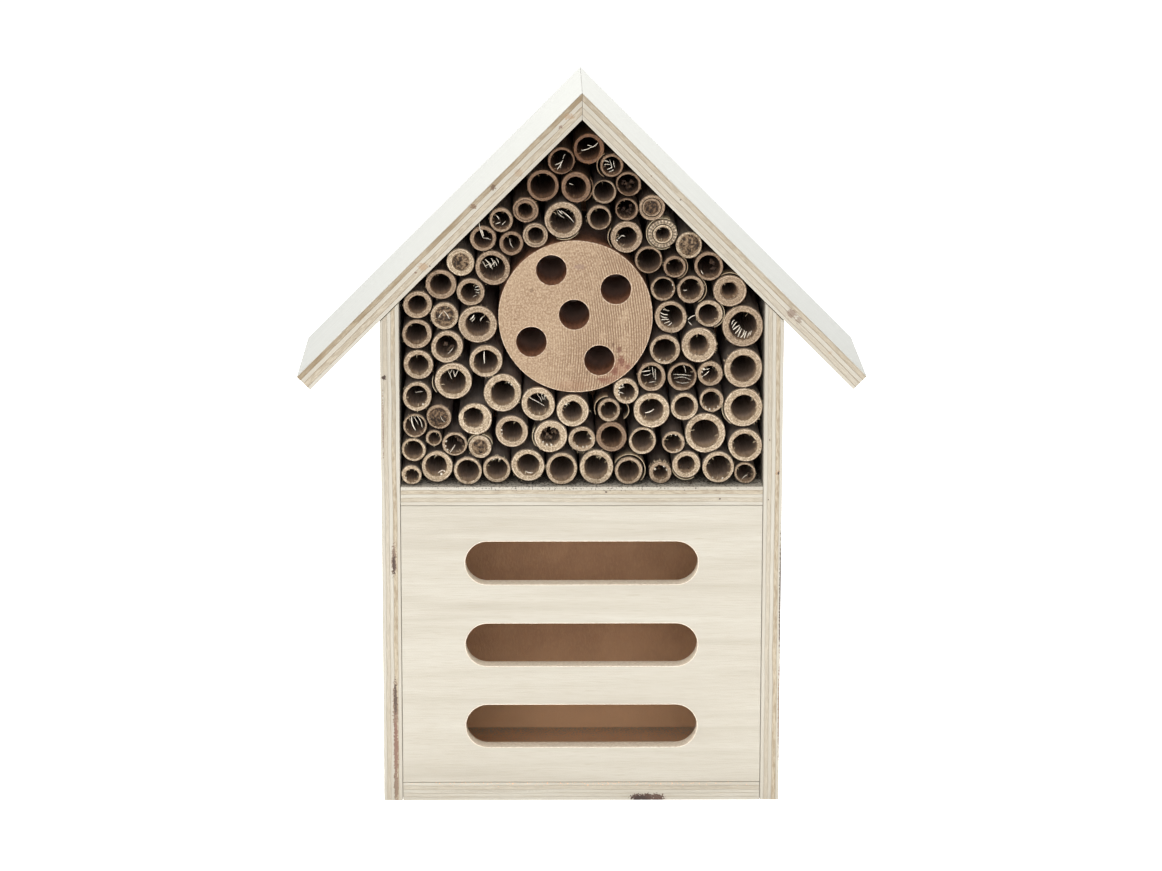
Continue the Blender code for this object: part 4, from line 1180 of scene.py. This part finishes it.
class Wall:
    """A tube's wall: its uneven skin, its torn bore and the rough end between them."""

    def __init__(self, tube, trait, draw):
        self.tube = tube
        self.trait = trait
        self.turn = draw.uniform(0, 2 * pi)
        self.oval = draw.uniform(0.0, 0.03)
        self.rough = draw.uniform(0.08, 0.18) * MM
        self.ragged = trait.get("ragged", draw.uniform(0.10, 0.26)) * MM
        shift = trait.get("shift", (draw.uniform(-0.3, 0.3), draw.uniform(-0.3, 0.3)))
        self.shift_x, self.shift_z = shift[0] * MM, shift[1] * MM
        self.tilt_x, self.tilt_z = draw.uniform(-0.02, 0.02), draw.uniform(-0.02, 0.02)
        self.seed = draw.uniform(0, 50)
        self.angles = [2 * pi * step / TUBE_STEPS for step in range(TUBE_STEPS)]

    def wave(self, angle, frequency, layer):
        where = (cos(angle) * frequency, sin(angle) * frequency, self.seed + layer)
        return noise.noise(Vector(where))

    def squash(self, angle):
        return 1 - self.oval + self.oval * cos(2 * (angle - self.turn))

    def skin(self, angle):
        return self.tube.radius * self.squash(angle) + SKIN_WAVE * self.wave(angle, 1.6, 0)

    def bore(self, angle, depth):
        torn = self.wave(angle, 2.2, 5) + 0.9 * self.wave(angle, 6.5, 9) + 0.5 * self.wave(angle, 14, 3)
        return self.tube.bore * self.squash(angle) + self.ragged * torn / (1 + depth / RAGGED_DEPTH)

    def skin_ring(self, inset, y):
        points = []
        for angle in self.angles:
            reach = self.skin(angle) - inset
            x, z = reach * cos(angle), reach * sin(angle)
            lift = self.tilt_x * x + self.tilt_z * z if y < RAGGED_DEPTH else 0.0
            points.append(self.tube.point(x, y + lift, z))
        return points

    def end_ring(self, share, sink=0.0):
        """A ring of the sawn end, from the bore (share 0) to the skin (share 1)."""
        points = []
        for number, angle in enumerate(self.angles):
            inner = self.bore(angle, 0.0)
            reach = inner + (self.skin(angle) - SKIN_ROUNDING - inner) * share
            x = self.shift_x * (1 - share) + reach * cos(angle)
            z = self.shift_z * (1 - share) + reach * sin(angle)
            y = self.wave(angle, 3.0, 20 + share * 7) + 0.7 * self.wave(angle, 9.0, 40 + share * 9)
            y = self.rough * y + sink
            if "teeth" in self.trait and share > 0.5 and number % 2:
                y += TOOTH_DEPTH
            points.append(self.tube.point(x, y + self.tilt_x * x + self.tilt_z * z, z))
        return points

    def end_shade(self):
        """Painted shade in the notches between the teeth of a toothed rim, and none elsewhere."""
        if "teeth" not in self.trait:
            return [0.0] * TUBE_STEPS
        return [number % 2 for number in range(TUBE_STEPS)]

    def bore_ring(self, y, share=1.0):
        points = []
        funnel = self.trait.get("funnel", 0.0) * MM * min(1.0, y / FUNNEL_DEPTH)
        for angle in self.angles:
            reach = (self.bore(angle, y) - funnel) * share
            x, z = self.shift_x + reach * cos(angle), self.shift_z + reach * sin(angle)
            points.append(self.tube.point(x, y, z))
        return points

    def pith_ring(self, share):
        depth = self.trait.get("pith_depth", 1.2) * MM
        bumps = self.trait.get("pith_bumps", 0.9) * MM
        points = []
        for x, y, z in self.bore_ring(depth, share):
            lump = noise.noise(Vector((x * 500, z * 500, self.seed)))
            points.append((x, y + bumps * lump + 0.5 * MM * (1 - share), z))
        return points


def make_wall(form, wall):
    """The wall from its rear along the skin to the mouth, and back down the bore or pith."""
    tube = wall.tube
    length = tube.rear - tube.front
    rings, kinds = [], []

    def ring(points, across, shade, kind):
        rings.append(form.add(points, across, shade))
        kinds.append(kind)

    # the skin's rings: grey painted light deep in, painted shade just behind the mouth
    for depth, bright, painted_shade in SKIN_RINGS:
        ring(wall.skin_ring(0, min(depth, length)), bright, painted_shade, SKIN)
    ring(wall.skin_ring(0.1 * MM, 0.1 * MM), 1.0, 0.0, CUT)
    groove = wall.trait.get("groove")
    for share in END_RINGS:
        shade = wall.end_shade() if share > 0.5 else 0.0
        ring(wall.end_ring(share), share, shade, CUT)
        if groove and groove + 0.08 < share and share - 0.26 < groove + 0.08:
            ring(wall.end_ring(groove + 0.07), groove + 0.07, 0.1, CUT)
            ring(wall.end_ring(groove + 0.02, GROOVE_DEPTH), groove, 1.0, CUT)
            ring(wall.end_ring(groove - 0.05, GROOVE_DEPTH), groove, 1.0, CUT)
            ring(wall.end_ring(groove - 0.10), groove - 0.10, 0.1, CUT)
    for depth, painted_light in BORE_RINGS:
        if depth < PLUG_DEPTH or not tube.filled:
            ring(wall.bore_ring(min(depth, length)), 0.0, painted_light, BORE)
    if tube.filled:
        for share in PITH_RINGS:
            ring(wall.pith_ring(share), 0.0, 0.0, PITH)
    for number, pair in enumerate(zip(rings, rings[1:])):
        form.bridge(*pair, kinds[number])
    if tube.filled:
        form.face(rings[-1], PITH)
        form.face(rings[0][::-1], SKIN)
    else:
        form.bridge(rings[-1], rings[0], CUT)


def sliver(form, start, end, width, draw, bend=0.12, kind=FIBRE):
    """A thin splinter, tapered at both ends and slightly bent."""
    start, end = Vector(start), Vector(end)
    run = end - start
    side = run.cross(Vector((0, 1, 0))).normalized()
    bow = run.length * draw.uniform(-bend, bend)
    lift = run.length * draw.uniform(-0.08, 0.08)
    rings = []
    for step in range(SLIVER_STEPS + 1):
        share = step / SLIVER_STEPS
        middle = start + run * share + side * bow * sin(pi * share)
        middle.y += lift * sin(pi * share)
        half = width / 2 * (0.25 + 0.75 * sin(pi * (0.12 + 0.80 * share)) ** 0.7)
        depth = Vector((0, half * 0.5, 0))
        rings.append([tuple(middle + offset) for offset in (side * half, depth, -side * half, -depth)])
    form.sleeve(rings, kind)


def lump(form, centre, size, kind, draw, shade=0.0):
    """A small uneven crumb."""
    rings = []
    for height, reach in LUMP_PROFILE:
        ring = []
        for step in range(LUMP_SIDES):
            angle = 2 * pi * step / LUMP_SIDES
            uneven = draw.uniform(0.6, 1.15) * size / 2
            offset = (cos(angle) * reach * uneven, height * uneven * 0.7, sin(angle) * reach * uneven)
            ring.append(tuple(Vector(centre) + Vector(offset)))
        rings.append(ring)
    form.sleeve(rings, kind, shade)


def sheath(form, tube, gap, start, end):
    """A strip of skin that has come loose along an arc round the tube."""
    steps = max(6, int(abs(end - start) / 8))
    rings = []
    for step in range(steps + 1):
        share = step / steps
        angle = radians(start + (end - start) * share)
        thick = SHEATH_THICKNESS * (0.35 + 0.65 * sin(pi * min(1, 0.12 + share * 0.8)))
        near = tube.radius + gap * MM * (0.7 + 0.3 * sin(pi * share))
        front = 0.5 * MM + 0.25 * MM * noise.noise(Vector((step * 0.8, tube.x * 900, tube.z * 900)))
        rear = front + SHEATH_DEPTH
        corners = ((near, front), (near + thick, front), (near + thick, rear), (near, rear))
        rings.append([tube.point(r * cos(angle), y, r * sin(angle)) for r, y in corners])
    # the strip's rear corners take the skin's painted shade
    form.sleeve(rings, SKIN, [0.0, 0.0, 1.0, 1.0])


def add_slivers(form, wall, draw):
    tube, bore = wall.tube, wall.tube.bore
    for x1, z1, x2, z2, width in wall.trait.get("slivers", ()):
        start_y, end_y = 0.4 * MM, draw.uniform(-0.3, 0.2) * MM
        start = tube.point(wall.shift_x + x1 * bore, start_y, wall.shift_z + z1 * bore)
        end = tube.point(wall.shift_x + x2 * bore, end_y, wall.shift_z + z2 * bore)
        sliver(form, start, end, width * SLIVER_WIDENING * MM, draw)


def add_hairs(form, wall, draw):
    """Short torn fibres along the bore's rim and round the outside."""
    tube = wall.tube
    first, last = wall.trait.get("hair_arc", (0, 360))
    for _ in range(wall.trait.get("hairs", draw.choice((3, 4, 5, 7)))):
        angle = radians(draw.uniform(first, last))
        reach = tube.bore * 1.03
        into = tube.bore * draw.uniform(0.12, 0.4)
        aim = angle + draw.uniform(-0.6, 0.6)
        x = wall.shift_x + reach * cos(angle)
        z = wall.shift_z + reach * sin(angle)
        start = tube.point(x, 0.5 * MM, z)
        end_y = 0.5 * MM + draw.uniform(-0.5, 0.6) * MM
        end = tube.point(x - into * cos(aim), end_y, z - into * sin(aim))
        sliver(form, start, end, draw.uniform(0.10, 0.24) * MM, draw, 0.3, SKIN)
    first, last, count, length = wall.trait.get("fuzz", (0, 360, draw.choice((2, 3, 5)), 0.9))
    for _ in range(count):
        angle = radians(draw.uniform(first, last))
        aim = angle + draw.uniform(-1.1, 1.1)
        out = length * MM * draw.uniform(0.5, 1.0)
        x, z = (tube.radius - 0.2 * MM) * cos(angle), (tube.radius - 0.2 * MM) * sin(angle)
        start = tube.point(x, 0.3 * MM, z)
        end = tube.point(x + out * cos(aim), draw.uniform(-0.2, 0.6) * MM, z + out * sin(aim))
        sliver(form, start, end, draw.uniform(0.10, 0.2) * MM, draw, 0.35, SKIN)


def add_crumbs(form, wall, draw):
    """Pale chips on the bore's rim, and lumps of pith further in."""
    tube = wall.tube
    for degrees, size in wall.trait.get("chips", ()):
        angle = radians(degrees)
        reach = tube.bore - size * MM * 0.2
        x, z = wall.shift_x + reach * cos(angle), wall.shift_z + reach * sin(angle)
        lump(form, tube.point(x, 0.25 * MM, z), size * MM, FIBRE, draw)
    for x, z, size in wall.trait.get("lumps", ()):
        place = (wall.shift_x + x * tube.bore, draw.uniform(3, 6) * MM, wall.shift_z + z * tube.bore)
        for _ in range(LUMP_CLUSTER):
            jitter = [draw.uniform(-0.35, 0.35) * size * MM for _ in range(3)]
            grain = size * draw.uniform(0.4, 0.7) * MM
            centre = tube.point(*(a + b for a, b in zip(place, jitter)))
            lump(form, centre, grain, PITH, draw, LUMP_SHADE)


def make_tube(tube, node, materials):
    draw = Random(tube.name)
    trait = TRAITS.get(tube.name.removeprefix("tube_"), {})
    form = Form()
    wall = Wall(tube, trait, draw)
    make_wall(form, wall)
    add_slivers(form, wall, draw)
    add_hairs(form, wall, draw)
    add_crumbs(form, wall, draw)
    for gap, start, end in trait.get("sheaths", ()):
        sheath(form, tube, gap, start, end)
    height = min(1.0, max(0.0, (tube.z - BROWN_FROM) / (BROWN_TO - BROWN_FROM)))
    tone = trait.get("tone", height) + draw.uniform(-0.06, 0.08)
    mesh = form.mesh(tube.name, max(0.0, min(1.0, tone)))
    piece = bpy.data.objects.new(tube.name, mesh)
    finished(piece, materials, node)


def make_tubes():
    materials = [bamboo_cut(), bamboo_skin(), bamboo_bore(), bamboo_fibre(), bamboo_pith()]
    for node in sorted(NODES):
        if node.startswith("tube_group_"):
            for tube in tubes_of(node):
                make_tube(tube, node, materials)


# ----------------------------------------------------------------- hardware

def make_hardware():
    metal = zinc()
    for node, piece in NODES.items():
        if "nail" in node or node == "hanger":
            piece.data.materials.clear()
            piece.data.materials.append(metal)


# --------------------------------------------------------------- the studio

def make_camera():
    data = bpy.data.cameras.new("camera")
    data.sensor_width = 36
    data.lens = LENS
    data.clip_start = 0.05
    data.clip_end = 50
    camera = bpy.data.objects.new("camera", data)
    camera.location = CAMERA_PLACE
    camera.rotation_euler = [radians(angle) for angle in CAMERA_TURN]
    bpy.context.scene.collection.objects.link(camera)
    bpy.context.scene.camera = camera


def make_lights():
    for name, place, size, power in LIGHTS:
        data = bpy.data.lights.new(name, "AREA")
        data.shape = "RECTANGLE"
        data.size, data.size_y = size
        data.energy = power
        light = bpy.data.objects.new(name, data)
        light.location = place
        aim = Vector(LIGHT_TARGET) - Vector(place)
        light.rotation_euler = aim.to_track_quat("-Z", "Y").to_euler()
        bpy.context.scene.collection.objects.link(light)
    world = bpy.data.worlds.new("studio")
    bpy.context.scene.world = world
    world.use_nodes = True
    background = world.node_tree.nodes["Background"]
    background.inputs["Color"].default_value = (1, 1, 1, 1)
    background.inputs["Strength"].default_value = WORLD_LIGHT
    bpy.context.scene.view_settings.view_transform = "Standard"


def make_floor():
    form = bmesh.new()
    bmesh.ops.create_grid(form, x_segments=FLOOR_CELLS, y_segments=FLOOR_CELLS, size=FLOOR_SIZE)
    mesh = bpy.data.meshes.new("floor")
    form.to_mesh(mesh)
    form.free()
    floor = bpy.data.objects.new("floor", mesh)
    floor.location.z = -FLOOR_DROP
    floor.data.materials.append(white_floor())
    bpy.context.scene.collection.objects.link(floor)


make_camera()
make_lights()
make_floor()
make_uprights()
make_roof()
make_floors()
make_front_panel()
make_back_panel()
make_log()
make_tubes()
make_hardware()
